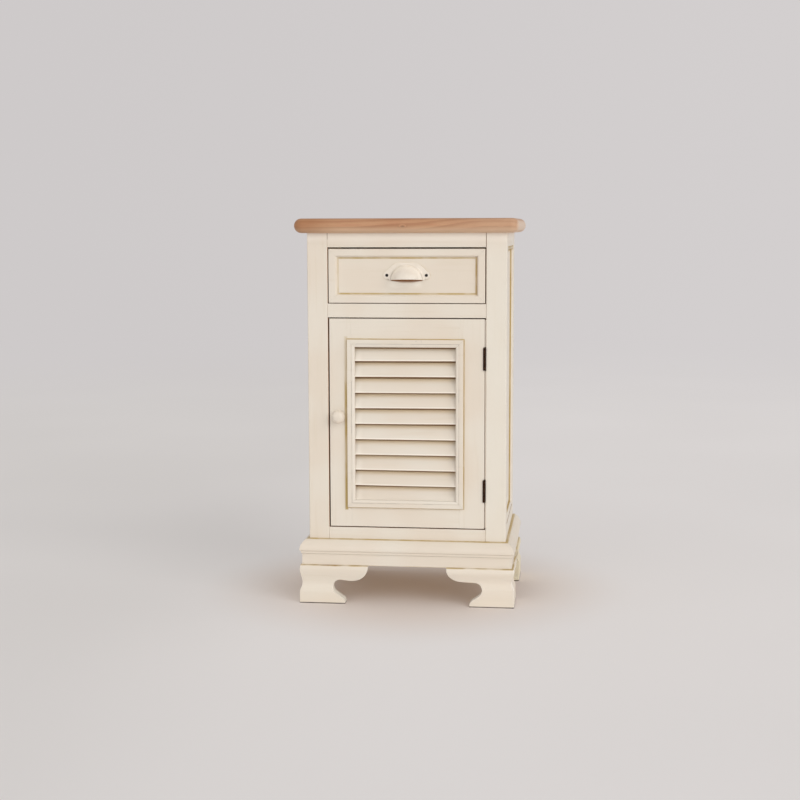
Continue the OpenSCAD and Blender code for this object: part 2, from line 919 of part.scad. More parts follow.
module drawer_front() {
    color(cream) difference() {
        translate([-drawer_front_x, field_y, drawer_front_z])
            cube([2 * drawer_front_x, drawer_front_t, drawer_front_h]);
        drawer_bottom_blank(slot_fit);
        pull_shanks(slot_fit);
    }
}

module drawer_side() {
    difference() {
        translate([drawer_side_x - drawer_side_t, drawer_front_back_y, drawer_side_z])
            cube([drawer_side_t, drawer_box_l, drawer_side_h]);
        drawer_bottom_blank(slot_fit);
    }
}

module drawer_side_left() {
    color(pale_wood) mirror([1, 0, 0]) drawer_side();
}

module drawer_side_right() {
    color(pale_wood) drawer_side();
}

module drawer_back() {
    reach = drawer_side_x - drawer_side_t;
    back_z = drawer_bottom_z + drawer_bottom_t + slot_fit;
    color(pale_wood)
        translate([-reach, drawer_end_y - drawer_side_t, back_z])
            cube([2 * reach, drawer_side_t, drawer_side_z + drawer_side_h - back_z]);
}

module drawer_bottom() {
    color(pale_wood) drawer_bottom_blank(0);
}

// Half outline of the cup, turned about its long axis: half width a, reach b
module cup_profile(a, b) {
    polygon([for (i = [0:16]) let (t = 180 * i / 16) [b * sin(t), a * cos(t)]]);
}

module cup_quarter(a, b) {
    rotate([0, 90, 0]) rotate([0, 0, 180]) rotate_extrude(angle = 90) cup_profile(a, b);
}

// Plate outline round the cup: x across, y up from the lower edge
module plate_outline() {
    end_x = pull_screw_gap / 2;
    crown_x = cup_w * 0.26;
    crown_bevel_w = 4;
    crown_bevel_h = 2;
    difference() {
        union() {
            for (side = [-1, 1])
                translate([side * end_x, pull_screw_rise]) circle(plate_end_r);
            polygon([
                [-end_x, pull_screw_rise - plate_end_r], [end_x, pull_screw_rise - plate_end_r],
                [end_x + plate_end_r * 0.6, pull_screw_rise + plate_end_r * 0.8],
                [crown_x + crown_bevel_w, plate_h - crown_bevel_h], [crown_x, plate_h],
                [-crown_x, plate_h], [-crown_x - crown_bevel_w, plate_h - crown_bevel_h],
                [-end_x - plate_end_r * 0.6, pull_screw_rise + plate_end_r * 0.8]
            ]);
        }
        for (side = [-1, 1])
            translate([side * end_x, pull_screw_rise]) circle(pull_shank_r + slot_fit);
    }
}

module cup_pull() {
    color(cream) translate([0, field_y, pull_z])
        difference() {
            union() {
                rotate([90, 0, 0]) linear_extrude(cup_wall) plate_outline();
                cup_quarter(cup_w / 2, cup_reach);
            }
            cup_hollow();
        }
}

// Hollow of the cup: a whole turned form, so it runs out behind the plate and below
module cup_hollow() {
    rotate([0, 90, 0]) rotate_extrude() cup_profile(cup_w / 2 - cup_wall, cup_reach - cup_wall);
}

// Shanks of the pull screws, grown by fit for their holes
module pull_shanks(fit) {
    for (side = [-1, 1])
        translate([side * pull_screw_gap / 2, field_y + pull_shank_l, pull_z + pull_screw_rise])
            rotate([90, 0, 0])
                cylinder(h = pull_shank_l + cup_wall, r = pull_shank_r + fit);
}

module pull_screws() {
    color(dark_metal) {
        pull_shanks(0);
        for (side = [-1, 1])
            translate([side * pull_screw_gap / 2, field_y - cup_wall, pull_z + pull_screw_rise])
                rotate([90, 0, 0])
                    intersection() {
                        cylinder(h = pull_head_r / 2, r = pull_head_r);
                        translate([0, 0, -pull_head_r * 0.75]) sphere(pull_head_r * 1.25);
                    }
    }
}

// Tenons of the door rails, grown by fit for their slots
module door_tenons(z, h, fit) {
    translate([
        frame_x0 - tenon_l - fit, door_mid_y - tenon_t / 2 - fit, z + tenon_shoulder - fit
    ])
        cube([
            frame_x1 - frame_x0 + 2 * (tenon_l + fit),
            tenon_t + 2 * fit,
            h - 2 * tenon_shoulder + 2 * fit
        ]);
}

// All slats as long bars, grown by fit for their housings
module slat_bars(fit) {
    low_z = sight_z0 - slat_edge_drop + slat_t / 2 + slat_core * cos(slat_tilt);
    x0 = frame_x0 - slat_housing - fit;
    intersection() {
        for (k = [0:slat_count - 1])
            translate([x0, door_mid_y, low_z + k * slat_step])
                rotate([90, 0, 90])
                    linear_extrude(frame_x1 - frame_x0 + 2 * (slat_housing + fit))
                        rotate(-slat_tilt) {
                            square([slat_t + 2 * fit, 2 * slat_core], center = true);
                            for (end = [-1, 1])
                                translate([0, end * slat_core]) circle(slat_t / 2 + fit);
                        }
        translate([x0 - cut, face_y, frame_z0])
            cube([frame_x1 - x0 + slat_housing + 2 * cut, door_t, frame_z1 - frame_z0]);
    }
}

module door_stile(x0, x1) {
    difference() {
        translate([x0, face_y, door_z0]) cube([x1 - x0, door_t, door_h]);
        door_tenons(door_z0, frame_z0 - door_z0, slot_fit);
        door_tenons(frame_z1, door_z1 - frame_z1, slot_fit);
        slat_bars(slot_fit);
    }
}

module door_stile_knob() {
    color(cream) difference() {
        door_stile(door_x0, frame_x0);
        knob_shank(slot_fit);
    }
}

module door_stile_hinge() {
    color(cream) difference() {
        door_stile(frame_x1, door_x1);
        for (z = hinge_starts) {
            translate([hinge_x, hinge_y, z - pin_head_t - cut])
                cylinder(h = hinge_l + 2 * (pin_head_t + cut), r = barrel_r + notch_clear);
            translate([door_x1 - leaf_t, face_y - cut, z])
                cube([leaf_t + cut, hinge_y + leaf_w - face_y + cut, hinge_l]);
        }
        hinge_screw_set(-1, slot_fit);
    }
}

module door_rail(z, h) {
    translate([frame_x0, face_y, z]) cube([frame_x1 - frame_x0, door_t, h]);
    door_tenons(z, h, 0);
}

module door_rail_top() {
    color(cream) door_rail(frame_z1, door_z1 - frame_z1);
}

module door_rail_bottom() {
    color(cream) door_rail(door_z0, frame_z0 - door_z0);
}

// Section of the louvre moulding: a flat outer step, a quirk and an inner bead
module louvre_section() {
    step_w = louvre_moulding_w / 2;
    bead_r = louvre_moulding_w / 4;
    square([step_w - 0.6, louvre_moulding_t]);
    square([louvre_moulding_w, louvre_moulding_t * 0.45]);
    translate([step_w + bead_r, louvre_moulding_t * 0.45]) intersection() {
        circle(bead_r);
        translate([-bead_r, 0]) square([2 * bead_r, louvre_moulding_t * 0.55]);
    }
}

module louvre_moulding() {
    color(cream)
        translate([moulding_x0, face_y, moulding_z0])
            rotate([90, 0, 0])
                mitred_frame(
                    moulding_x1 - moulding_x0, moulding_z1 - moulding_z0,
                    louvre_moulding_w, louvre_moulding_t
                )
                    louvre_section();
}

module louvre_slats() {
    color(cream) slat_bars(0);
}

// Turned knob on the Y axis, standing forward from the origin
module knob_body() {
    head_r = knob_d / 2;
    head_y = knob_reach * 0.62;
    head_back = knob_reach * 0.28;
    rotate([90, 0, 0]) rotate_extrude()
        polygon([
            [0, 0], [knob_neck_d / 2 + 1, 0], [knob_neck_d / 2, 2], [knob_neck_d / 2, head_back],
            for (i = [1:8])
                [knob_neck_d / 2 + (head_r - knob_neck_d / 2) * sin(90 * i / 8),
                 head_back + (head_y - head_back) * (1 - cos(90 * i / 8))],
            for (i = [1:8])
                [head_r * cos(90 * i / 8), head_y + (knob_reach - head_y) * sin(90 * i / 8)]
        ]);
}

// Shank of the knob screw from the back of the door, grown by fit for its hole
module knob_shank(fit) {
    translate([knob_x, door_back_y, knob_z])
        rotate([90, 0, 0])
            cylinder(h = door_t + knob_screw_grip + fit, r = knob_screw_r + fit);
}

module door_knob() {
    color(cream) difference() {
        translate([knob_x, face_y, knob_z]) knob_body();
        knob_shank(slot_fit);
    }
}

module knob_screw() {
    head_r = knob_screw_r * 2;
    color(grey_metal) {
        knob_shank(0);
        translate([knob_x, door_back_y, knob_z]) rotate([-90, 0, 0])
            cylinder(h = knob_screw_r, r = head_r);
    }
}

// One knuckle of the barrel from z, without its bore
module knuckle(z) {
    translate([hinge_x, hinge_y, z]) cylinder(h = knuckle_l, r = barrel_r);
}

// Room for the other leaf's knuckle from z
module knuckle_room(z) {
    translate([hinge_x, hinge_y, z - knuckle_gap])
        cylinder(h = knuckle_l + 2 * knuckle_gap, r = barrel_r + knuckle_clear);
}

module hinge_bore(z) {
    translate([hinge_x, hinge_y, z - cut])
        cylinder(h = hinge_l + 2 * cut, r = hinge_pin_r + hinge_pin_fit);
}

// Leaves on the post: each carries the upper and the lower knuckle
module hinge_post_leaves() {
    color(dark_metal) for (z = hinge_starts)
        difference() {
            union() {
                difference() {
                    translate([open_x - leaf_t, hinge_y, z]) cube([leaf_t, leaf_w, hinge_l]);
                    knuckle_room(z + knuckle_l + knuckle_gap);
                }
                knuckle(z);
                knuckle(z + 2 * (knuckle_l + knuckle_gap));
            }
            hinge_bore(z);
            hinge_heads(1, z, slot_fit);
        }
}

// Leaves on the door's edge: each carries the middle knuckle
module hinge_door_leaves() {
    color(dark_metal) for (z = hinge_starts)
        difference() {
            union() {
                difference() {
                    translate([door_x1 - leaf_t, hinge_y + leaf_root, z])
                        cube([leaf_t, leaf_w - leaf_root, hinge_l]);
                    knuckle_room(z);
                    knuckle_room(z + 2 * (knuckle_l + knuckle_gap));
                }
                knuckle(z + knuckle_l + knuckle_gap);
            }
            hinge_bore(z);
            hinge_heads(-1, z, slot_fit);
        }
}

module hinge_pins() {
    color(dark_metal) for (z = hinge_starts) {
        translate([hinge_x, hinge_y, z]) cylinder(h = hinge_l, r = hinge_pin_r);
        for (end = [z - pin_head_t, z + hinge_l])
            translate([hinge_x, hinge_y, end]) cylinder(h = pin_head_t, r = pin_head_r);
    }
}

// Screw heads let into a leaf: side 1 is the post, side -1 the door
module hinge_heads(side, z, fit) {
    x = side > 0 ? open_x : door_x1 - leaf_t;
    for (rise = hinge_screw_rises)
        translate([x, hinge_screw_y, z + rise])
            rotate([0, -side * 90, 0])
                cylinder(h = leaf_t + fit, r = hinge_head_r + fit);
}

// Shanks behind the leaves, grown by fit for their holes
module hinge_screw_set(side, fit) {
    x = side > 0 ? open_x : door_x1 - leaf_t;
    for (z = hinge_starts, rise = hinge_screw_rises)
        translate([x, hinge_screw_y, z + rise])
            rotate([0, side * 90, 0])
                cylinder(h = hinge_shank_l + fit, r = hinge_shank_r + fit);
}

module hinge_post_screws() {
    color(dark_metal) {
        hinge_screw_set(1, 0);
        for (z = hinge_starts) hinge_heads(1, z, 0);
    }
}

module hinge_door_screws() {
    color(dark_metal) {
        hinge_screw_set(-1, 0);
        for (z = hinge_starts) hinge_heads(-1, z, 0);
    }
}

module door_catch() {
    color(grey_metal)
        translate([-open_x, catch_front_y, catch_z]) cube([catch_w, catch_d, catch_h]);
}

module catch_plate() {
    edge_inset = 1;
    color(grey_metal)
        translate([door_x0 + edge_inset, door_back_y, catch_z])
            cube([catch_w - door_gap_knob - edge_inset, catch_plate_t, catch_h]);
}

top_board();
front_post_left();
front_post_right();
rear_post_left();
rear_post_right();
top_rail();
middle_rail();
bottom_rail();
side_top_rail_left();
side_top_rail_right();
side_bottom_rail_left();
side_bottom_rail_right();
side_panel_left();
side_panel_right();
side_moulding_left();
side_moulding_right();
back_panel();
back_top_rail();
back_bottom_rail();
cabinet_floor();
shelf();
shelf_cleats();
drawer_runner_left();
drawer_runner_right();
drawer_kickers();
plinth_front();
plinth_left();
plinth_right();
foot_front_left();
foot_front_right();
foot_side_front_left();
foot_side_front_right();
foot_side_rear_left();
foot_side_rear_right();
rear_foot_brace_left();
rear_foot_brace_right();
foot_glue_blocks();
door_catch();
hinge_post_leaves();
hinge_pins();
hinge_post_screws();
drawer_front();
drawer_border();
drawer_side_left();
drawer_side_right();
drawer_back();
drawer_bottom();
cup_pull();
pull_screws();
door_stile_knob();
door_stile_hinge();
door_rail_top();
door_rail_bottom();
louvre_moulding();
louvre_slats();
door_knob();
knob_screw();
hinge_door_leaves();
hinge_door_screws();
catch_plate();
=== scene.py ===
"""Looks of a painted nightstand with one drawer and a louvred door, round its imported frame.

Lengths in this script are millimetres in the row frame, unless a name ends in _M.
Each piece's mesh is scaled to metres when it is made.
"""

import math
import random

import bmesh
import bpy
from mathutils import Matrix, Vector


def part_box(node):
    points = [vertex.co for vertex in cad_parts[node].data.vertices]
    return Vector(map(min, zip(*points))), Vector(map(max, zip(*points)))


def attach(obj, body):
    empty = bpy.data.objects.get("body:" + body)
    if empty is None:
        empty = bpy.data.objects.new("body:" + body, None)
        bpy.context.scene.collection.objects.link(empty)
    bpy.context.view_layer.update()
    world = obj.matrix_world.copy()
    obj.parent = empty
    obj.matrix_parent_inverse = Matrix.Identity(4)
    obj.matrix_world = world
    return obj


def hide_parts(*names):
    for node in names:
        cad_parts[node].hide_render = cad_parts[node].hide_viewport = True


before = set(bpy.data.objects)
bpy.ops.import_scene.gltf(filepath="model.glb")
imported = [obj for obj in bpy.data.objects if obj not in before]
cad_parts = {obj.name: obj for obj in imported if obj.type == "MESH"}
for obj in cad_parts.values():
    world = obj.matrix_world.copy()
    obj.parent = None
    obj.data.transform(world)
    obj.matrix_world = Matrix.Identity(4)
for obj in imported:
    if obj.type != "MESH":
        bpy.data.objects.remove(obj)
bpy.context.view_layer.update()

MM = 0.001
SIDES = ((-1, "left"), (1, "right"))


# Measures taken from the frame


def span(node):
    """Lowest and highest corner of a CAD node at rest."""
    low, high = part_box(node)
    return low / MM, high / MM


def welded(node):
    """The CAD node's mesh as a bmesh with its split corners joined and flat faces whole."""
    bm = bmesh.new()
    bm.from_mesh(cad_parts[node].data)
    bmesh.ops.scale(bm, vec=Vector((1, 1, 1)) / MM, verts=bm.verts)
    bmesh.ops.remove_doubles(bm, verts=bm.verts, dist=0.002)
    bmesh.ops.dissolve_limit(bm, angle_limit=math.radians(0.5), verts=bm.verts, edges=bm.edges)
    return bm


def solid_heights(node):
    """The (lowest, highest) height of each separate solid of a CAD node, from low to high."""
    bm = welded(node)
    left = set(bm.verts)
    heights = []
    while left:
        group, queue = [], [left.pop()]
        while queue:
            group.append(queue.pop())
            found = {edge.other_vert(group[-1]) for edge in group[-1].link_edges} & left
            left -= found
            queue += found
        levels = [vert.co.z for vert in group]
        heights.append((min(levels), max(levels)))
    bm.free()
    return sorted(heights)


def outline_of(low, high, axis=0, inset=0):
    """(low, low, high, high) of a box across one axis and up, moved inwards."""
    return low[axis] + inset, low.z + inset, high[axis] - inset, high.z - inset


# Values of the parts that the scene models again
MITRE_GAP = 0.1
BORDER_W = 16.5
BORDER_FLAT_W = 12
LOUVRE_MOULDING_W = 14
QUIRK_AT = 8
SLAT_T = 6
SLAT_W = 38
SLAT_TILT = math.radians(22)
FRIEZE_H = 21
STEP_H = 26
FOOT_T = 20
FOOT_WAIST = 4.5
CUP_WALL = 1.6
PULL_SCREW_RISE = 8.4
SCREW_HEAD_R = 2.7
PLATE_END_R = 7

POST_LOW, POST_HIGH = span("front_post_right")
OPEN_X, HALF_W = POST_LOW.x, POST_HIGH.x
FACE_Y, BACK_Y = POST_LOW.y, span("rear_post_right")[1].y
FOOT_H, TOP_Z = POST_LOW.z, POST_HIGH.z
FOOT_REACH = span("foot_side_front_right")[1].x - HALF_W
PLINTH_LOW, PLINTH_HIGH = span("plinth_front")
DRAWER_LOW, DRAWER_HIGH = span("drawer_border")
FIELD = outline_of(DRAWER_LOW, DRAWER_HIGH, inset=BORDER_W)
CUP_LOW, CUP_HIGH = span("cup_pull")
DOOR_LOW, DOOR_HIGH = span("door_stile_knob")[0], span("door_stile_hinge")[1]
LOUVRE_LOW, LOUVRE_HIGH = span("louvre_moulding")
LOUVRE = outline_of(LOUVRE_LOW, LOUVRE_HIGH)
RECESS_LOW, RECESS_HIGH = span("side_moulding_right")
RECESS = outline_of(RECESS_LOW, RECESS_HIGH, axis=1)
PANEL_X = span("side_panel_right")[1].x
RECESS_W = RECESS_HIGH.x - PANEL_X + 0.5


def srgb(red, green, blue):
    """A colour of 0 to 255 values, as the linear one that Blender's sockets hold."""

    def linear(value):
        share = value / 255
        return share / 12.92 if share <= 0.04045 else ((share + 0.055) / 1.055) ** 2.4

    return (linear(red), linear(green), linear(blue), 1.0)


CREAM = srgb(232, 223, 209)
CREAM_WARM = srgb(230, 218, 202)
# Painted light on the cabinet's right post and side
CREAM_RIGHT_LIGHT = srgb(235, 229, 216)
CREAM_DEEP = srgb(222, 209, 188)
# Painted highlight on rounded edges and on the louvre moulding's inner edge
CREAM_HIGHLIGHT = srgb(240, 234, 223)
# Painted light: the palest cream, laid where light falls and where it lifts shade
PAINTED_LIGHT = srgb(255, 248, 236)
# Rubbed wear, and the painted shadow at the slats' right ends
RUBBED_AND_SHADOW = srgb(196, 184, 166)
SCUFF_GREY = srgb(168, 164, 158)
# Thin lines at the plinth's steps: painted shade with a little glaze
STEP_LINE_SHADE = srgb(186, 176, 158)
# Tan on the right rear foot
PALE_TAN = srgb(230, 216, 176)
GOLD = srgb(190, 163, 103)
GOLD_DARK = srgb(158, 120, 66)
SEAM_BROWN = srgb(120, 88, 56)
GAP_BROWN = srgb(204, 158, 112)
# Painted shade deeper in the gaps
GAP_SHADE = srgb(148, 110, 76)
SLAT_BROWN = srgb(136, 100, 60)
SLAT_SHADE = srgb(220, 194, 152)
# Painted shadow under the pull's lip
LIP_SHADOW_BROWN = srgb(146, 98, 58)
# Painted contact shadow at the feet's bottoms
CONTACT_SHADOW_BROWN = srgb(44, 26, 16)


# Materials


class Value:
    """A node's output. Sums and the like on it make the nodes that work them out."""

    def __init__(self, nodes, socket):
        self.nodes, self.socket = nodes, socket

    def __add__(self, other):
        return self.nodes.math("ADD", self, other)

    def __sub__(self, other):
        return self.nodes.math("SUBTRACT", self, other)

    def __rsub__(self, other):
        return self.nodes.math("SUBTRACT", other, self)

    def __mul__(self, other):
        return self.nodes.math("MULTIPLY", self, other)

    def __truediv__(self, other):
        return self.nodes.math("DIVIDE", self, other)

    def __abs__(self):
        return self.nodes.math("ABSOLUTE", self)

    def ramp(self, start, end, low=0.0, high=1.0):
        """Smooth step from low at start to high at end."""
        return self.nodes.out(self.nodes.node("ShaderNodeMapRange", self, start, end, low, high,
                                              interpolation_type="SMOOTHSTEP"))

    def band(self, at, half):
        """1 at that value, easing to 0 at half away from it."""
        return abs(self - at).ramp(half, 0)


class Nodes:
    """Short calls for the nodes of a material or of the world."""

    def __init__(self, owner):
        owner.use_nodes = True
        self.tree = owner.node_tree

    def node(self, kind, *first, **named):
        """A new node. first fills its first inputs; a capital name is an input, any other a setting."""
        made = self.tree.nodes.new(kind)
        for name, value in named.items():
            if name[0].isupper():
                self.put(made.inputs[name], value)
            else:
                setattr(made, name, value)
        for socket, value in zip(made.inputs, first):
            self.put(socket, value)
        return made

    def put(self, socket, value):
        """Links a socket to a node's output, or sets its value."""
        if isinstance(value, Value):
            self.tree.links.new(value.socket, socket)
        else:
            socket.default_value = value

    def out(self, node, name=0):
        return Value(self, node.outputs[name])

    def split(self, vector):
        return [Value(self, part) for part in self.node("ShaderNodeSeparateXYZ", vector).outputs]

    def math(self, operation, *values):
        return self.out(self.node("ShaderNodeMath", *values, operation=operation))

    def most(self, a, b):
        return self.math("MAXIMUM", a, b)

    def mix(self, share, a, b):
        node = self.node("ShaderNodeMix", share, data_type="RGBA")
        self.put(node.inputs[6], a)
        self.put(node.inputs[7], b)
        return self.out(node, 2)

    def seen(self):
        """1 for the rays that the camera sees straight, in gloss or through glass, and 0 for light."""
        rays = self.node("ShaderNodeLightPath")
        mirrored = self.most(self.out(rays, "Is Glossy Ray"), self.out(rays, "Is Transmission Ray"))
        return self.most(self.out(rays, "Is Camera Ray"), mirrored)


class Graph(Nodes):
    """A new material's nodes. x, y, z are a point's place at rest in the row frame, and behind is its
    depth behind the posts' front face."""

    def __init__(self, name):
        self.material = bpy.data.materials.new(name)
        super().__init__(self.material)
        self.shader = self.tree.nodes["Principled BSDF"]
        source = self.node("ShaderNodeTexCoord")
        self.place = self.out(self.node("ShaderNodeVectorMath", self.out(source, "Object"),
                                        operation="SCALE", Scale=1 / MM))
        self.x, self.y, self.z = self.split(self.place)
        self.behind = self.y - FACE_Y
        self.facing_x, self.facing_y, self.facing_z = self.split(self.out(source, "Normal"))

    def noise(self, cell, stretch=(1, 1, 1), detail=2.0, roughness=0.5, shift=0.0):
        """Noise of 0 to 1 with cells of that length, drawn out by stretch."""
        spread = self.node("ShaderNodeVectorMath", self.place, [1 / (cell * s) for s in stretch],
                           (shift, shift, shift), operation="MULTIPLY_ADD")
        return self.out(self.node("ShaderNodeTexNoise", Vector=self.out(spread), Scale=1, Detail=detail,
                                  Roughness=roughness), "Fac")

    def random(self, value):
        """A number from 0 to 1 that differs for each whole value."""
        return self.out(self.node("ShaderNodeTexWhiteNoise", noise_dimensions="1D", W=value), "Value")

    def attribute(self, name):
        return self.out(self.node("ShaderNodeAttribute", attribute_name=name), "Fac")

    def frame_distance(self, a, b, outline):
        """Distance from a rectangle's outline in two coordinates: below 0 inside it."""
        low_a, low_b, high_a, high_b = outline
        return self.most(abs(a - (low_a + high_a) / 2) - (high_a - low_a) / 2,
                         abs(b - (low_b + high_b) / 2) - (high_b - low_b) / 2)

    def over(self, colour, layers):
        """The colour with (share, tint) layers laid over it in turn."""
        for share, tint in layers:
            colour = self.mix(share, colour, tint)
        return colour

    def finish(self, colour, roughness, height=None, depth=0.05, **fixed):
        """Joins colour, roughness and a bump of that depth to the shader, and sets its fixed values."""
        inputs = self.shader.inputs
        self.put(inputs["Base Color"], colour)
        self.put(inputs["Roughness"], roughness)
        if height is not None:
            bump = self.node("ShaderNodeBump", Strength=1.0, Distance=depth * MM, Height=height)
            self.put(inputs["Normal"], self.out(bump))
        for name, value in fixed.items():
            inputs[name.replace("_", " ")].default_value = value
        return self.material


# A finish is a material and its slot. A marks function gives the (share, tint) layers of a finish.


def no_marks(g):
    return []


def grain_stretch(along, ratio):
    """Stretch of a noise whose streaks run along one axis."""
    return tuple(ratio if axis == along else 1 for axis in "xyz")


def paint(name, along, marks):
    """Satin cream paint brushed on wood along one axis, with a painted highlight on its rounded edges, and
    marks of glaze and of painted light and shade.
    """
    g = Graph(name)
    strokes = g.noise(1.6, grain_stretch(along, 40), detail=3, roughness=0.6)
    wide_strokes = g.noise(7, grain_stretch(along, 16))
    edge = g.attribute("edge")
    colour = g.over(CREAM, [
        (g.noise(110, detail=1).ramp(0.36, 0.64), CREAM_WARM),
        (wide_strokes.ramp(0.52, 0.8, high=0.35), CREAM_DEEP),
        (strokes.ramp(0.55, 0.8, high=0.16), CREAM_DEEP),
        # Painted highlight: paler rounded edges
        (edge * g.noise(14).ramp(0.35, 0.6) * 0.8, CREAM_HIGHLIGHT),
        (edge * g.noise(6, shift=9).ramp(0.62, 0.7) * 0.55, RUBBED_AND_SHADOW),
        *marks(g),
    ])
    height = strokes * 0.6 + (wide_strokes * 0.5 + g.noise(0.8))
    roughness = wide_strokes.ramp(0.3, 0.7, 0.4, 0.52)
    return g.finish(colour, roughness, height, Specular_IOR_Level=0.4), "cream_paint"


def patchy(g, cell=22, low=0.35):
    """A share from low to 1 that comes and goes along a line."""
    return g.noise(cell, detail=1, shift=3).ramp(0.35, 0.62, low=low)


def edge_walls(g):
    """1 on the faces that look sideways, up or down."""
    return abs(g.facing_y).ramp(0.7, 0.3)


def gap_marks(g, wall):
    """Brown on the walls of the gaps round the drawer and the door, in a strip just behind the face, darker
    further in as painted shade.
    """
    strip = wall * g.behind.ramp(14, 10)
    return [(strip * g.behind.ramp(0.3, 1.6) * 0.95, GAP_BROWN),
            # Darker further into the gap: painted shade
            (strip * g.behind.ramp(3, 8), GAP_SHADE)]


def recess_line(g, height):
    """1 along the side recess at a height: its upper or its lower edge."""
    middle, half = (RECESS_LOW.y + RECESS_HIGH.y) / 2, (RECESS_HIGH.y - RECESS_LOW.y) / 2
    between = abs(g.y - middle).ramp(half + 1, half - 1)
    return g.z.band(height, 1.9) * between * abs(g.x).ramp(OPEN_X + 10, OPEN_X + 20)


def carcass_marks(g):
    """Glaze above the plinth, in the side recess and at the rails' ends, with painted light on the right post
    and side and just under the top board.
    """
    joint = abs(g.x).band(OPEN_X, 0.7) * g.behind.ramp(1.5, 0.5)
    strong_side = g.x.ramp(0, 1, low=g.z.ramp(TOP_Z - 14, TOP_Z - 9))
    rail_z = span("top_rail")[0].z
    low, high = span("middle_rail")
    half = (high.z - low.z) / 2
    bottom = span("bottom_rail")[1].z
    beside_gap = (abs(g.z - (low.z + high.z) / 2).ramp(half - 0.6, half + 0.2)
                  * g.z.ramp(bottom - 0.6, bottom + 0.2))
    inner_wall = (abs(g.x).ramp(OPEN_X + 1, OPEN_X + 0.2) * abs(g.facing_x).ramp(0.4, 0.8)
                  * beside_gap)
    return [
        # Painted light: the right post and side paler
        (g.x.ramp(OPEN_X - 1, OPEN_X + 1, high=0.5), CREAM_RIGHT_LIGHT),
        # Painted light just under the top board, lifting the shade there
        (g.z.ramp(TOP_Z - 20, TOP_Z - 5, high=0.8), PAINTED_LIGHT),
        (g.z.band(PLINTH_HIGH.z, 1.6) * patchy(g, low=0.6), GOLD),
        (recess_line(g, RECESS_HIGH.z), GOLD),
        (recess_line(g, RECESS_LOW.z), GOLD_DARK),
        (joint * g.z.ramp(rail_z, rail_z + 1) * strong_side, SEAM_BROWN),
        *gap_marks(g, g.most(inner_wall, abs(g.facing_z).ramp(0.4, 0.8))),
    ]


def drawer_marks(g):
    """Glaze in the corner between the drawer's border and its field, brown on its edges, and dark gold on the
    border's right slope, partly glaze and partly painted shade.
    """
    field = g.frame_distance(g.x, g.z, FIELD)
    line = abs(field).ramp(2.6, 0.2) * g.behind.ramp(2.2, 3.6)
    faint_left = g.x.ramp(DRAWER_LOW.x + 14, DRAWER_LOW.x + 24, low=0.3)
    # Dark gold on the border's right slope: partly glaze, partly painted shade where it faces away from the
    # light
    right = g.x.band(FIELD[2] + 1.4, 4.2) * g.behind.ramp(0.8, 2.6)
    return [
        *gap_marks(g, edge_walls(g) * field.ramp(12, 14)),
        (line * patchy(g, low=0.6) * faint_left, GOLD),
        (right * 0.45, GOLD_DARK),
    ]


def field_marks(g):
    """The drawer's marks, with a warm brown painted shadow on the field just under the cup's lip, and painted
    light below it that lifts the cup's cast shadow.
    """
    drop = CUP_LOW.z - g.z
    # Painted shadow: a brown crescent on the field just under the cup's lip
    lip = (drop.ramp(abs(g.x).ramp(30, 6, 1.8, 6.8), 1.4) * drop.ramp(-3, -1)
           * abs(g.x).ramp(30, 27))
    # Painted light on the field below the cup, lifting its cast shadow
    below = drop.ramp(0, 4) * drop.ramp(17, 6) * abs(g.x + 3).ramp(36, 20) * 0.8
    return drawer_marks(g) + [(below, PAINTED_LIGHT), (lip, LIP_SHADOW_BROWN)]


def door_marks(g):
    """Glaze round the louvre's moulding, and brown on the door's edges."""
    around = g.frame_distance(g.x, g.z, LOUVRE)
    face = g.behind.ramp(1, 0.5)
    wide = (around.ramp(7, 3.5) * g.x.ramp(LOUVRE_LOW.x + 1, LOUVRE_LOW.x - 0.5)
            * g.z.ramp(LOUVRE_HIGH.z - 40, LOUVRE_HIGH.z - 110, low=0.35))
    line = g.most(around.ramp(2.4, 0.8), wide) * face
    outside = g.frame_distance(g.x, g.z, outline_of(DOOR_LOW, DOOR_HIGH))
    return [
        *gap_marks(g, edge_walls(g) * outside.ramp(-1, -0.2)),
        (line * patchy(g, 30, 0.7), GOLD),
        (around.ramp(1.1, 0) * face * patchy(g, 60, 0) * 0.3, GOLD_DARK),
    ]


def moulding_marks(g):
    """Glaze at the louvre moulding's outer foot, grey in its groove, a painted highlight on its round inner
    edge, and scuffs on its steps.
    """
    inside = g.frame_distance(g.x, g.z, LOUVRE) * -1
    foot = inside.ramp(1.2, 0.1) * g.behind.ramp(-4, -1.5)
    groove_grey = inside.band(QUIRK_AT, 0.55) * g.noise(30, detail=1, shift=8).ramp(0.42, 0.56, low=0.25)
    scratches = [g.noise(1.3, grain_stretch(along, 9), detail=3, roughness=0.7, shift=5) for along in "xz"]
    scuffs = g.most(*scratches).ramp(0.66, 0.74) * g.noise(26, detail=1, shift=1).ramp(0.52, 0.62)
    return [
        (foot * patchy(g, 40, 0.6), GOLD),
        (groove_grey * 0.8, SCUFF_GREY),
        # Painted highlight on the round inner edge
        (inside.ramp(QUIRK_AT + 0.4, QUIRK_AT + 1.6, high=0.25), CREAM_HIGHLIGHT),
        (scuffs * 0.7, SCUFF_GREY),
    ]


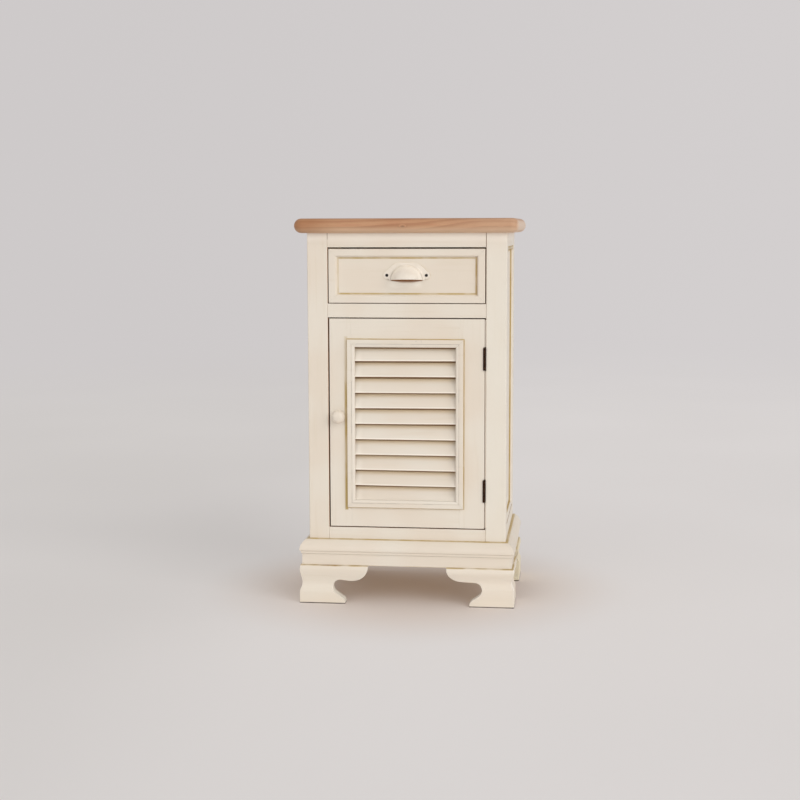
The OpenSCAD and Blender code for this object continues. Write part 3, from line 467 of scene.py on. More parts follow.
def slat_marks(g):
    """Painted shade and light on the slats: brown under each overlap and under the moulding with tan below,
    the moulding's shadow at the right ends, brown on the lower edges, partly glaze, and pale ends and lower
    edges.
    """
    along = g.attribute("along")
    front = g.facing_y.ramp(0.2, -0.2)
    down = g.facing_z.ramp(-0.6, -0.85)
    sight_top = LOUVRE_HIGH.z - LOUVRE_MOULDING_W
    right_end_shadow = g.x.ramp(LOUVRE_HIGH.x - 30, LOUVRE_HIGH.x - 13) * along.ramp(0.38, 0.62)
    ends = g.most(g.x.ramp(LOUVRE_LOW.x + 30, LOUVRE_LOW.x + 15),
                  g.x.ramp(LOUVRE_HIGH.x - 26, LOUVRE_HIGH.x - 14))
    return [
        # Painted light at the slats' ends, lifting their shade
        (ends * 0.4, PAINTED_LIGHT),
        (along.ramp(0.44, 0.7) * front * 0.7, SLAT_SHADE),
        # Painted shadow of the moulding at the right ends
        (right_end_shadow * front * 0.35, RUBBED_AND_SHADOW),
        # Painted shade: brown under the next slat's overlap and under the moulding's top edge
        (along.ramp(0.685, 0.725) * front * 0.92, SLAT_BROWN),
        (g.z.ramp(sight_top - 3.6, sight_top - 2.8) * front * 0.92, SLAT_BROWN),
        # Brown on the lower edges: partly glaze, partly painted shade
        (g.attribute("under") * down * 0.95, SLAT_BROWN),
        # Painted highlight along the lower edges
        (along.ramp(0.1, 0.03) * down.ramp(0.5, 0) * 0.55, PAINTED_LIGHT),
    ]


def recess_marks(g):
    """Glaze along the inner foot of the moulding in the side recess and at the recess' upper edge."""
    near = g.frame_distance(g.y, g.z, RECESS).ramp(-RECESS_W - 7, -RECESS_W - 1)
    low_part = (abs(g.x) - PANEL_X).ramp(3.2, 1.8)
    return [
        (near * low_part * patchy(g, 60, 0.75), GOLD),
        (g.z.ramp(RECESS_HIGH.z - 10, RECESS_HIGH.z - 6, high=0.6), GOLD),
        (recess_line(g, RECESS_HIGH.z), GOLD),
    ]


def plinth_marks(g):
    """Glaze at the plinth's top and bottom, and thin lines at its steps, partly painted shade and partly
    glaze.
    """
    top = PLINTH_HIGH.z
    return [
        # Thin lines at the steps: partly painted shade, partly glaze
        (g.z.band(FOOT_H + FRIEZE_H, 0.9) * patchy(g, 50, 0.7), STEP_LINE_SHADE),
        (g.z.band(FOOT_H + STEP_H, 0.8) * patchy(g, 45, 0.4) * 0.5, STEP_LINE_SHADE),
        (g.z.ramp(top - 0.9, top - 0.2) * patchy(g, low=0.7), GOLD),
        (g.z.ramp(FOOT_H + 1.3, FOOT_H) * patchy(g, 35, 0.15), GOLD),
    ]


def foot_marks(g):
    """Glaze under the plinth, strongest in the left foot's inner part; painted light towards the right and on
    the brackets' cut walls; painted shade at the waist and towards the floor; tan on the right rear foot; and
    a painted contact shadow at the floor.
    """
    line = g.z.ramp(FOOT_H - 2.2, FOOT_H - 0.2)
    rear_right = g.y.ramp(0, 30) * g.facing_y.ramp(0.6, 0.2) * g.x.ramp(0, 20)
    return [
        # Painted light towards the right feet
        (g.x.ramp(-140, 120, high=0.15), PAINTED_LIGHT),
        # Painted light on the brackets' cut walls
        (edge_walls(g) * g.behind.ramp(0, -2) * 0.9, PAINTED_LIGHT),
        (line * patchy(g, 35, 0.25) * 0.9, GOLD),
        (line * g.x.band(-135, 42) * patchy(g, 18, 0.3), GOLD_DARK),
        # Painted shade at the waist and towards the floor
        (g.z.band(FOOT_H * 0.6, 16) * 0.12, CREAM_DEEP),
        (g.z.ramp(45, 6, high=0.25), CREAM_DEEP),
        # Tan on the right rear foot's faces that do not face the back
        (rear_right * 0.5, PALE_TAN),
        # Painted contact shadow at the floor
        (g.z.ramp(2.1, 1.3) * patchy(g, 30, 0.85), CONTACT_SHADOW_BROWN),
    ]


def pull_marks(g):
    """Painted light on the cup's steep walls, lifting the shade in its crease, and thin glaze along its plate
    where it meets the drawer.
    """
    # Painted light on the cup's steep walls
    return [(abs(g.facing_y).ramp(0.8, 0.4, high=0.8), PAINTED_LIGHT),
            (g.y.ramp(CUP_HIGH.y - 1.5, CUP_HIGH.y - 0.9) * patchy(g, 12, 0.5), GOLD)]


def knob_marks(g):
    """Thin glaze at the knob's foot."""
    return [(g.behind.ramp(-1.5, 0, high=0.6), GOLD)]


def top_marks(g):
    """Golden brown at the board's left end and paler wood towards the right, with painted light on the
    down-facing lower rounding, darker brown where the top rounds over at the front, and a painted sheen on the
    right end.
    """
    return [
        # Painted light on the lower rounding, which faces down
        (g.facing_z.ramp(0.1, -0.75, high=0.65), srgb(226, 196, 166)),
        # Darker brown where the top rounds over at the front
        (g.facing_z.ramp(0.75, 0.98) * g.facing_y.ramp(-0.02, -0.2) * 0.35, srgb(150, 112, 72)),
        (g.x.ramp(-105, -190, high=0.55), srgb(160, 108, 68)),
        (g.x.ramp(20, 190, high=0.25), srgb(220, 190, 162)),
        # Painted sheen on the right end
        (g.facing_x.ramp(0.6, 1.0, high=0.7), srgb(232, 212, 192)),
    ]


def enamel(name, slot, pale, warm, marks):
    """Smooth baked paint on metal or turned wood."""
    g = Graph(name)
    colour = g.over(pale, [
        (g.noise(16).ramp(0.4, 0.65), warm),
        (g.noise(2.5, detail=3, shift=4).ramp(0.64, 0.7, high=0.12), RUBBED_AND_SHADOW),
        *marks(g),
    ])
    return g.finish(colour, g.noise(9).ramp(0.3, 0.7, 0.28, 0.38), g.noise(1.4, detail=3),
                    depth=0.03, Specular_IOR_Level=0.5), slot


# Added to a place across the boards so that it is never below 0
BOARDS_FROM = 1000
KNOT_SQUEEZE = 0.45
KNOT_BROWN = srgb(104, 68, 44)


def timber(name, along, tones, slot="inner_wood", ring=5.0, runout=0.0, centre=(0.0, -55.0), boards=None,
           knots=(), contrast=0.5, roughness=(0.45, 0.6), marks=no_marks):
    """Solid wood. tones are (pale, middle, dark, flush) colours; boards is a board's width across Y."""
    pale, middle, dark, flush = tones
    g = Graph(name)
    length, side, height = {"x": (g.x, g.y, g.z), "y": (g.y, g.x, g.z), "z": (g.z, g.x, g.y)}[along]
    chance = offset = grooves = swirl = 0
    if boards:
        across = side + BOARDS_FROM
        chance = g.random(g.math("FLOOR", across / boards))
        offset = (chance - 0.5) * 60
        side = g.math("MODULO", across, boards) - boards / 2
        grooves = abs(side).band(boards / 2, 0.5)
    for x, y, z, r in knots:
        flat = g.node("ShaderNodeVectorMath", g.place, (KNOT_SQUEEZE, 1, 1), operation="MULTIPLY")
        near = g.node("ShaderNodeVectorMath", g.out(flat), (x * KNOT_SQUEEZE, y, z), operation="DISTANCE")
        swirl = g.most(swirl, g.out(near, "Value").ramp(r * 3.2, r * 0.5))
    knot_marks = [(swirl.ramp(0.7, 1.0, high=0.55), KNOT_BROWN)] if knots else []
    off_side = side - centre[0] + offset
    off_height = height - centre[1] + length * runout
    warp = g.noise(46, grain_stretch(along, 7), shift=2)
    radius = g.math("SQRT", off_side * off_side + off_height * off_height) + warp * 34 + swirl * (ring * 0.9)
    phase = g.math("FRACT", radius / ring)
    late = phase.ramp(0.25, 0.85) * phase.ramp(1.0, 0.88)
    fibre = g.noise(0.55, grain_stretch(along, 45), detail=3, roughness=0.65)
    streak = g.noise(3.2, grain_stretch(along, 22), detail=3, roughness=0.6, shift=7)
    pores = g.noise(0.42, grain_stretch(along, 16), detail=1, shift=12).ramp(0.64, 0.72)
    colour = g.over(pale, [
        (g.noise(38, grain_stretch(along, 5)).ramp(0.38, 0.62), middle),
        (chance * 0.35, flush),
        (streak.ramp(0.5, 0.72, high=0.6), flush),
        (late * contrast, dark),
        (fibre.ramp(0.45, 0.8, high=0.35), dark),
        (pores * 0.35, dark),
        *knot_marks,
        (grooves * 0.5, dark),
        (g.attribute("edge") * g.noise(7, shift=6).ramp(0.45, 0.65) * 0.5, pale),
        *marks(g),
    ])
    relief = (fibre * 0.6 + late * 0.2) - (pores * 0.5 + grooves)
    return g.finish(colour, streak.ramp(0.3, 0.7, *roughness), relief, depth=0.08,
                    Specular_IOR_Level=0.3), slot


def metal(name, slot, base, worn, roughness, metallic=1.0):
    """Aged metal, brighter where its edges are rubbed."""
    g = Graph(name)
    rub = g.attribute("edge") * g.noise(1.5, shift=3).ramp(0.4, 0.6)
    colour = g.over(base, [(g.noise(2.2, detail=4, roughness=0.65).ramp(0.42, 0.68), worn),
                           (rub * 0.6, worn)])
    return g.finish(colour, g.noise(1.2, detail=3).ramp(0.3, 0.7, roughness, roughness + 0.2),
                    g.noise(0.5, detail=3), depth=0.02, Metallic=metallic), slot


def plastic(name, slot, base, shade):
    """Moulded plastic with a fine matt grain."""
    g = Graph(name)
    colour = g.mix(g.noise(6, detail=3).ramp(0.4, 0.65), base, shade)
    return g.finish(colour, g.noise(0.6).ramp(0.3, 0.7, 0.4, 0.55), g.noise(0.4), depth=0.02), slot


TOP_TONES = (srgb(202, 160, 123), srgb(187, 141, 106), srgb(148, 98, 66), srgb(186, 121, 90))
PALE_TONES = (srgb(222, 196, 158), srgb(212, 182, 140), srgb(176, 138, 96), srgb(206, 166, 124))
PLY_TONES = (srgb(216, 190, 152), srgb(206, 176, 134), srgb(172, 136, 96), srgb(200, 162, 122))
ROUGH_TONES = (srgb(204, 178, 142), srgb(190, 158, 118), srgb(150, 114, 78), srgb(180, 140, 100))

# Each knot is its centre and radius
TOP_KNOTS = ((-4, -149, 687.5, 1.6), (170, -147, 687.5, 1.4), (-90, -20, 700, 4.0), (74, 66, 700, 3.0))

WOOD_TOP = timber("oiled_wood", "x", TOP_TONES, "top_wood", ring=9, runout=-0.045, boards=100,
                  knots=TOP_KNOTS, contrast=0.42, roughness=(0.38, 0.55), marks=top_marks)
WOOD_PALE_X = timber("pale_wood_across", "x", PALE_TONES, boards=120, contrast=0.35)
WOOD_PALE_Y = timber("pale_wood_deep", "y", PALE_TONES, contrast=0.35, centre=(20.0, 500.0))
WOOD_PLY = timber("back_panel_wood", "z", PLY_TONES, ring=11, contrast=0.3, centre=(30.0, 60.0))
WOOD_ROUGH = timber("block_wood", "z", ROUGH_TONES, contrast=0.4, roughness=(0.6, 0.75))

PAINT = {name: paint(f"paint_{name}", along, marks) for name, along, marks in (
    ("rails", "x", carcass_marks), ("posts", "z", carcass_marks), ("side_rails", "y", carcass_marks),
    ("side_panels", "z", recess_marks), ("recess_moulding", "z", recess_marks),
    ("plinth", "x", plinth_marks), ("plinth_sides", "y", plinth_marks),
    ("feet", "x", foot_marks), ("feet_sides", "y", foot_marks),
    ("drawer_border", "x", drawer_marks), ("drawer_field", "x", field_marks),
    ("door_stiles", "z", door_marks), ("door_rails", "x", door_marks),
    ("louvre_moulding", "x", moulding_marks), ("slats", "x", slat_marks), ("back", "x", no_marks),
)}
ENAMEL_PULL = enamel("enamel_pull", "pull_metal", srgb(237, 227, 213), srgb(232, 222, 207), pull_marks)
ENAMEL_KNOB = enamel("enamel_knob", "cream_paint", srgb(235, 223, 207), srgb(229, 218, 202), knob_marks)
BRONZE = metal("dark_bronze", "hinge_metal", srgb(42, 27, 21), srgb(84, 60, 44), 0.45)
BLACK_STEEL = metal("black_steel", "screw_metal", srgb(26, 23, 22), srgb(58, 52, 48), 0.4, metallic=0.6)
ZINC = metal("zinc", "catch_metal", srgb(172, 172, 170), srgb(206, 206, 204), 0.35)
BROWN_PLASTIC = plastic("brown_plastic", "catch_metal", srgb(112, 82, 58), srgb(96, 70, 50))


# Meshes


def in_scene(name, data):
    """A new object in the scene that holds the data."""
    made = bpy.data.objects.new(name, data)
    bpy.context.scene.collection.objects.link(made)
    return made


def place_piece(node, form, body, bm, finish, sharp=38, stands_in=True):
    """Turns a bmesh in millimetres into a smooth piece on its body, in place of the CAD node."""
    name = f"{node}_{form}"
    material, slot = finish
    bmesh.ops.recalc_face_normals(bm, faces=bm.faces)
    bmesh.ops.scale(bm, vec=Vector((MM, MM, MM)), verts=bm.verts)
    mesh = bpy.data.meshes.new(name)
    bm.to_mesh(mesh)
    bm.free()
    mesh.shade_smooth()
    mesh.set_sharp_from_angle(angle=math.radians(sharp))
    mesh.materials.append(material)
    made = in_scene(name, mesh)
    made.modifiers.new("flat_faces", "WEIGHTED_NORMAL").keep_sharp = True
    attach(made, body)
    if stands_in:
        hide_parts(node)


def edge_layer(bm):
    """Face layer that says how far a face is a rounded edge."""
    return bm.faces.layers.float.get("edge") or bm.faces.layers.float.new("edge")


def round_edges(bm, edges, width, segments, **options):
    """Rounds the edges and marks the new faces as edges."""
    layer = edge_layer(bm)
    made = bmesh.ops.bevel(bm, geom=edges, offset=width, segments=segments, profile=0.5,
                           affect="EDGES", **options)
    for face in made["faces"]:
        face[layer] = 1.0


def soften(bm, width, axis=None):
    """Rounds the sharp edges, or those along one axis."""
    sharp = [e for e in bm.edges
             if e.is_manifold and e.calc_face_angle() > math.radians(40) and e.calc_length() > 3 * width
             and (axis is None or abs(e.verts[0].co[axis] - e.verts[1].co[axis]) > 0.9 * e.calc_length())]
    round_edges(bm, sharp, width, 2, offset_type="OFFSET", clamp_overlap=True)


def add_loops(bm, loops, closed=True):
    """Joins loops of as many points each with faces. Returns the loops' vertices."""
    rows = [[bm.verts.new(p) for p in loop] for loop in loops]
    count = len(rows[0])
    for row, following in zip(rows, rows[1:]):
        for i in range(count if closed else count - 1):
            j = (i + 1) % count
            bm.faces.new((row[i], row[j], following[j], following[i]))
    return rows


def add_solid(bm, loops):
    """Solid through closed loops, with its ends closed. Returns the loops' vertices."""
    rows = add_loops(bm, loops)
    bm.faces.new(rows[0])
    bm.faces.new(reversed(rows[-1]))
    return rows


def arc(cx, cy, r, start, end, steps):
    """Points along an arc, with its angles in degrees."""
    angles = [math.radians(start + (end - start) * i / steps) for i in range(steps + 1)]
    return [(cx + r * math.cos(a), cy + r * math.sin(a)) for a in angles]


def curve(start, control_a, control_b, end, steps):
    """Points along a cubic curve."""
    points = []
    for i in range(steps + 1):
        t = i / steps
        u = 1 - t
        weights = (u * u * u, 3 * u * u * t, 3 * u * t * t, t * t * t)
        points.append(tuple(sum(w * p[k] for w, p in zip(weights, (start, control_a, control_b, end)))
                            for k in (0, 1)))
    return points


def mitred_strips(outline, section, place):
    """Four strips round a rectangle. section holds (inwards, out) points; place maps (a, b, out)."""
    low_a, low_b, high_a, high_b = outline
    bm = bmesh.new()
    for side in range(4):
        ends = []
        for end in (0, 1):
            loop = []
            for inwards, out in section:
                corners = [(low_a + inwards, low_b + inwards), (high_a - inwards, low_b + inwards),
                           (high_a - inwards, high_b - inwards), (low_a + inwards, high_b - inwards)]
                here, there = corners[(side + end) % 4], corners[(side + 1 - end) % 4]
                gap = [MITRE_GAP * (1 if t > h else -1 if t < h else 0) for h, t in zip(here, there)]
                loop.append(place(here[0] + gap[0], here[1] + gap[1], out))
            ends.append(loop)
        add_solid(bm, ends)
    return bm


def rounded_box(bm, low, high, r):
    """Box with rounded edges."""
    made = bmesh.ops.create_cube(bm, size=1)["verts"]
    for vert in made:
        vert.co = Vector(low[i] if vert.co[i] < 0 else high[i] for i in range(3))
    round_edges(bm, list({e for v in made for e in v.link_edges}), r, 3)


def turned(bm, profile, centre, axis, segments):
    """Turns a profile of (radius, height) points about an axis through centre."""
    spin = Vector((0, 0, 1)).rotation_difference(Vector(axis)).to_matrix()
    angles = [2 * math.pi * i / segments for i in range(segments)]
    add_solid(bm, [[Vector(centre) + spin @ Vector((radius * math.cos(a), radius * math.sin(a), height))
                    for a in angles] for radius, height in profile])


def carved(bm, cutters):
    """The bmesh with cutter bmeshes taken away from it."""
    objects = []
    for source in [bm, *cutters]:
        mesh = bpy.data.meshes.new("carving")
        bmesh.ops.recalc_face_normals(source, faces=source.faces)
        source.to_mesh(mesh)
        source.free()
        objects.append(in_scene("carving", mesh))
    body = objects[0]
    for cutter in objects[1:]:
        step = body.modifiers.new("cut", "BOOLEAN")
        step.operation = "DIFFERENCE"
        step.solver = "EXACT"
        step.object = cutter
    bpy.context.view_layer.update()
    result = bmesh.new()
    result.from_object(body, bpy.context.evaluated_depsgraph_get())
    for made in objects:
        mesh = made.data
        bpy.data.objects.remove(made)
        bpy.data.meshes.remove(mesh)
    return result


# Pieces


def sided(*stems):
    """The left and the right node of each stem."""
    return [f"{stem}_{word}" for stem in stems for _, word in SIDES]


def make_boards():
    """Boards whose CAD shape is right: each gets rounded edges and its own finish."""
    rails = ["top_rail", "middle_rail", "bottom_rail"]
    plain = [
        ("cabinet", PAINT["posts"], 0.25, sided("front_post", "rear_post")),
        ("cabinet", PAINT["rails"], 0.5, rails),
        ("cabinet", PAINT["side_rails"], 0.5, sided("side_top_rail", "side_bottom_rail")),
        ("cabinet", PAINT["side_panels"], 0.4, sided("side_panel")),
        ("cabinet", PAINT["back"], 0.6, ["back_top_rail", "back_bottom_rail", *sided("rear_foot_brace")]),
        ("cabinet", WOOD_PLY, 0.3, ["back_panel"]),
        ("cabinet", WOOD_PALE_X, 0.8, ["cabinet_floor", "shelf"]),
        ("cabinet", WOOD_PALE_Y, 0.8, ["shelf_cleats", *sided("drawer_runner"), "drawer_kickers"]),
        ("cabinet", WOOD_ROUGH, 1.2, ["foot_glue_blocks"]),
        ("drawer", PAINT["drawer_field"], 0.8, ["drawer_front"]),
        ("drawer", WOOD_PALE_Y, 0.8, [*sided("drawer_side"), "drawer_bottom"]),
        ("drawer", WOOD_PALE_X, 0.8, ["drawer_back"]),
        ("door", PAINT["door_stiles"], 0.8, ["door_stile_knob", "door_stile_hinge"]),
        ("door", PAINT["door_rails"], 0.35, ["door_rail_top", "door_rail_bottom"]),
        ("cabinet", BRONZE, 0.12, ["hinge_post_leaves", "hinge_post_screws"]),
        ("door", BRONZE, 0.12, ["hinge_door_leaves", "hinge_door_screws"]),
    ]
    for body, finish, width, nodes in plain:
        for node in nodes:
            bm = welded(node)
            soften(bm, width, 0 if nodes == rails else None)
            place_piece(node, "finished", body, bm, finish)


def keep_small_nodes():
    """CAD nodes that stay as they are, with their own finish."""
    for node, (material, _) in (("hinge_pins", BRONZE), ("catch_plate", ZINC), ("knob_screw", ZINC)):
        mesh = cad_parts[node].data
        mesh.materials.clear()
        mesh.materials.append(material)


def make_top():
    """Top board with a full round edge at the front and both sides, rounded at its front corners."""
    low, high = span("top_board")
    nose = (high.z - low.z) / 2
    corner = 16
    sides = [high.y + (low.y + corner - high.y) * i / 12 for i in range(12)]
    path = [((low.x, y), (1, 0)) for y in sides]
    for cx, start in ((low.x + corner, 180), (high.x - corner, 270)):
        for x, y in arc(cx, low.y + corner, corner, start, start + 90, 12):
            path.append(((x, y), ((cx - x) / corner, (low.y + corner - y) / corner)))
    path += [((high.x, y), (-1, 0)) for y in reversed(sides)]
    loops = []
    for out, up in arc(0, 0, nose, -90, 90, 16):
        inset = nose - out
        loops.append([(x + nx * inset, y + ny * inset, low.z + nose + up) for (x, y), (nx, ny) in path])
    bm = bmesh.new()
    rows = add_loops(bm, loops, closed=False)
    bm.faces.new(rows[0])
    bm.faces.new(rows[-1])
    bm.faces.new([row[0] for row in rows] + [row[-1] for row in reversed(rows)])
    place_piece("top_board", "finished", "cabinet", bm, WOOD_TOP)


def plinth_section():
    """(reach, height) points of the plinth: a flat frieze, a step and a round nose up to the posts."""
    reach = FACE_Y - PLINTH_LOW.y
    height = PLINTH_HIGH.z - PLINTH_LOW.z
    frieze, step, lip = 12, 14, 2
    flatter = 1.15
    round_h = STEP_H + 2.5
    crown = [(lip + (reach - lip) * abs(x) ** flatter, round_h + (height - round_h) * y ** flatter)
             for x, y in arc(0, 0, 1, 0, 90, 14)]
    return [
        (0, 0), *arc(frieze - 0.8, 0.8, 0.8, -90, 0, 3), (frieze, FRIEZE_H - 0.4), (frieze + 0.4, FRIEZE_H),
        *arc(step - 0.5, FRIEZE_H + 0.5, 0.5, -90, 0, 2), (step, STEP_H - 0.4), (step + 0.4, STEP_H),
        (reach - 1.2, STEP_H), (reach - 0.4, STEP_H + 0.8), *crown, (0, height),
    ]


def make_plinth():
    """Front and side plinth pieces, mitred at the front corners."""
    section = plinth_section()
    front = bmesh.new()
    add_solid(front, [[(side * (HALF_W + r - MITRE_GAP / 2), FACE_Y - r, FOOT_H + h) for r, h in section]
                      for side in (-1, 1)])
    place_piece("plinth_front", "moulding", "cabinet", front, PAINT["plinth"], 30)
    for side, word in SIDES:
        bm = bmesh.new()
        add_solid(bm, [[(side * (HALF_W + r), FACE_Y - r + MITRE_GAP / 2, FOOT_H + h) for r, h in section],
                       [(side * (HALF_W + r), BACK_Y, FOOT_H + h) for r, h in section]])
        place_piece(f"plinth_{word}", "moulding", "cabinet", bm, PAINT["plinth_sides"], 30)


# Length, toe and the inner end's share of the foot's height, of the side brackets and the left and right front
SIDE_BRACKET = (112, 81, 0.37)
FRONT_BRACKETS = {-1: (125.8, 84.2, 0.41), 1: (123.5, 81, 0.37)}
# Heights, as shares of the foot's, of the ogee's upper swell, waist and lower swell, on the left and right
OGEES = {-1: (0.9, 0.52, 0.27), 1: (0.9, 0.63, 0.42)}


def foot_reach_at(height, ogee):
    """Reach of a foot's ogee face at a height."""
    swell, waist, lower = ogee
    stops = [(FOOT_H, FOOT_REACH - 1.5), (FOOT_H * swell, FOOT_REACH),
             (FOOT_H * waist, FOOT_REACH - FOOT_WAIST), (FOOT_H * lower, FOOT_REACH)]
    for (high, out_high), (low, out_low) in zip(stops, stops[1:]):
        if height >= low:
            turn = math.pi * (high - height) / (high - low)
            return out_high + (out_low - out_high) * (1 - math.cos(turn)) / 2
    return FOOT_REACH


def bracket_outline(length, toe, wing):
    """Closed outline of a bracket: along from the foot's outer edge, and height.
    wing is the height of its inner end as a share of the foot's."""
    wing_l = FOOT_H * 0.465
    wing_h = FOOT_H * wing
    fuller = 0.86
    cove_r = FOOT_H * 0.185
    toe_r = FOOT_H * 0.15
    corners = [
        (0, 0), (toe, 0),
        *arc(toe - toe_r, FOOT_H / 25, toe_r, 0, 60, 9),
        *arc(toe - FOOT_H * 0.135, FOOT_H * 0.435, cove_r, 240, 90, 20),
        *[(length - wing_l + wing_l * abs(x) ** fuller, FOOT_H - wing_h * abs(y) ** fuller)
          for x, y in arc(0, 0, 1, -90, 0, 14)],
        (0, FOOT_H),
    ]
    points = []
    for (u, v), (next_u, next_v) in zip(corners, corners[1:] + corners[:1]):
        steps = max(1, math.ceil(abs(next_v - v) / 2.4))
        points += [(u + (next_u - u) * i / steps, v + (next_v - v) * i / steps) for i in range(steps)]
    return points


def inward_normals(points):
    """Unit-offset directions into a closed outline that runs anticlockwise."""
    normals = []
    for before, here, after in zip(points[-1:] + points[:-1], points, points[1:] + points[:1]):
        first = (Vector(here) - Vector(before)).normalized()
        second = (Vector(after) - Vector(here)).normalized()
        middle = Vector((-first.y - second.y, first.x + second.x)).normalized()
        normals.append(middle / max(0.7, middle.dot(Vector((-first.y, first.x)))))
    return normals


def bracket(length, toe, wing, ogee, mitred, place):
    """Bracket foot as a bmesh: its outline with an ogee face and rounded edges.
    place maps (along, out, height), with out from the posts' face."""
    round_r = 1.0
    outline = bracket_outline(length, toe, wing)
    normals = inward_normals(outline)
    back = FOOT_REACH - FOOT_T
    bm = bmesh.new()
    loops = []
    for step in range(4):
        angle = math.radians(30 * step)
        loop = []
        for (u, v), normal in zip(outline, normals):
            share = angle / 2 if mitred and u == 0 else angle
            inset, depth = round_r * (1 - math.sin(share)), round_r * (1 - math.cos(share))
            height = v + normal.y * (inset if u > 0 or not mitred else round_r * (1 - math.sin(angle)))
            out = foot_reach_at(height, ogee) - depth
            if mitred and u == 0:
                along = FOOT_REACH - out + inset - depth + MITRE_GAP / 2
            else:
                along = u + normal.x * inset
            loop.append((along, out, height))
        loops.append(loop)
    loops.append([(FOOT_T + MITRE_GAP / 2 if mitred and u == 0 else u, back, v) for u, v in outline])
    rows = add_loops(bm, loops)
    layer = edge_layer(bm)
    for face in bm.faces:
        if not any(v.co.y == back for v in face.verts):
            face[layer] = 1.0
    bm.faces.new(rows[-1])
    front = bm.faces.new(rows[0])
    kept = {vert: vert.co.copy() for vert in rows[0]}
    for vert in rows[0]:
        vert.co.y = FOOT_REACH
    cuts = sorted({round(v, 3) for _, v in outline if 1 < v < FOOT_H - 1})
    faces = [front]
    for before, level in zip([0] + cuts, cuts):
        if level - before <= 0.3:
            continue
        edges = list({e for f in faces for e in f.edges})
        verts = list({v for f in faces for v in f.verts})
        bmesh.ops.bisect_plane(bm, geom=verts + edges + faces, dist=0.02, plane_co=(0, 0, level),
                               plane_no=(0, 0, 1))
        faces = [f for f in bm.faces if all(abs(v.co.y - FOOT_REACH) < 1e-6 for v in f.verts)]
    for vert in {v for f in faces for v in f.verts}:
        vert.co = kept.get(vert, Vector((vert.co.x, foot_reach_at(vert.co.z, ogee), vert.co.z)))
    for vert in bm.verts:
        vert.co = Vector(place(*vert.co))
    return bm


def make_feet():
    """Six bracket feet: a mitred pair at each front corner and one at each rear side."""
    for side, word in SIDES:
        brackets = (
            ("front", "feet", FRONT_BRACKETS[side],
             lambda along, out, z: (side * (HALF_W + FOOT_REACH - along), FACE_Y - out, z)),
            ("side_front", "feet_sides", SIDE_BRACKET,
             lambda along, out, z: (side * (HALF_W + out), FACE_Y - FOOT_REACH + along, z)),
            ("side_rear", "feet_sides", SIDE_BRACKET,
             lambda along, out, z: (side * (HALF_W + out), BACK_Y - along, z)),
        )
        for where, finish, sizes, place in brackets:
            bm = bracket(*sizes, OGEES[side], where != "side_rear", place)
            place_piece(f"foot_{where}_{word}", "bracket", "cabinet", bm, PAINT[finish], 30)


def make_border():
    """Mitred border on the drawer front: flat outside, with a hollow slope down to the field."""
    thick = DRAWER_HIGH.y - DRAWER_LOW.y
    lip = 0.6
    section = [
        (0, 0), (0, thick - 1), *arc(1, thick - 1, 1, 180, 90, 4)[1:], (BORDER_FLAT_W - 0.5, thick),
        *curve((BORDER_FLAT_W, thick - 0.1), (BORDER_FLAT_W + 1.4, thick - 0.6),
               (BORDER_W - 2.4, lip + 1.0), (BORDER_W - 0.3, lip + 0.1), 8),
        (BORDER_W, lip), (BORDER_W, 0),
    ]
    bm = mitred_strips(outline_of(DRAWER_LOW, DRAWER_HIGH), section,
                       lambda a, b, out: (a, DRAWER_HIGH.y - out, b))
    place_piece("drawer_border", "moulding", "drawer", bm, PAINT["drawer_border"], 30)


def make_louvre_moulding():
    """Mitred moulding round the louvre: an outer step, a fine groove and a round inner edge."""
    thick = LOUVRE_HIGH.y - LOUVRE_LOW.y
    section = [
        (0, 0), (0, thick - 0.9), *arc(0.9, thick - 0.9, 0.9, 180, 90, 3)[1:],
        (QUIRK_AT - 0.45, thick - 0.2), (QUIRK_AT, thick - 0.9), (QUIRK_AT + 0.45, thick - 0.3),
        *curve((QUIRK_AT + 1, thick - 0.3), (LOUVRE_MOULDING_W - 2.4, thick - 0.3),
               (LOUVRE_MOULDING_W, thick - 1.2), (LOUVRE_MOULDING_W, thick - 3.4), 10),
        (LOUVRE_MOULDING_W, 0),
    ]
    bm = mitred_strips(LOUVRE, section, lambda a, b, out: (a, LOUVRE_HIGH.y - out, b))
    place_piece("louvre_moulding", "strips", "door", bm, PAINT["louvre_moulding"], 30)


def make_recess_mouldings():
    """Quarter-round mouldings in the side recesses."""
    thick = RECESS_HIGH.x - PANEL_X
    wide = RECESS_W
    section = [(0, 0), (0, thick - 0.5), (0.5, thick),
               *curve((1.2, thick), (wide * 0.75, thick), (wide, thick * 0.6), (wide, 0.5), 10), (wide, 0)]
    for side, word in SIDES:
        bm = mitred_strips(RECESS, section, lambda a, b, out: (side * (PANEL_X + out), a, b))
        place_piece(f"side_moulding_{word}", "strips", "cabinet", bm, PAINT["recess_moulding"], 30)


# Lift of each slat's left and right end, from the lowest slat to the highest
SLAT_LIFTS = ((0, 0), (0.4, -0.6), (0.2, -0.5), (-0.5, -0.5), (-0.6, -0.7), (-1.0, 0.1), (-1.0, 0.1),
              (-1.3, -0.3), (-0.7, 0.1), (-0.5, 0.6))


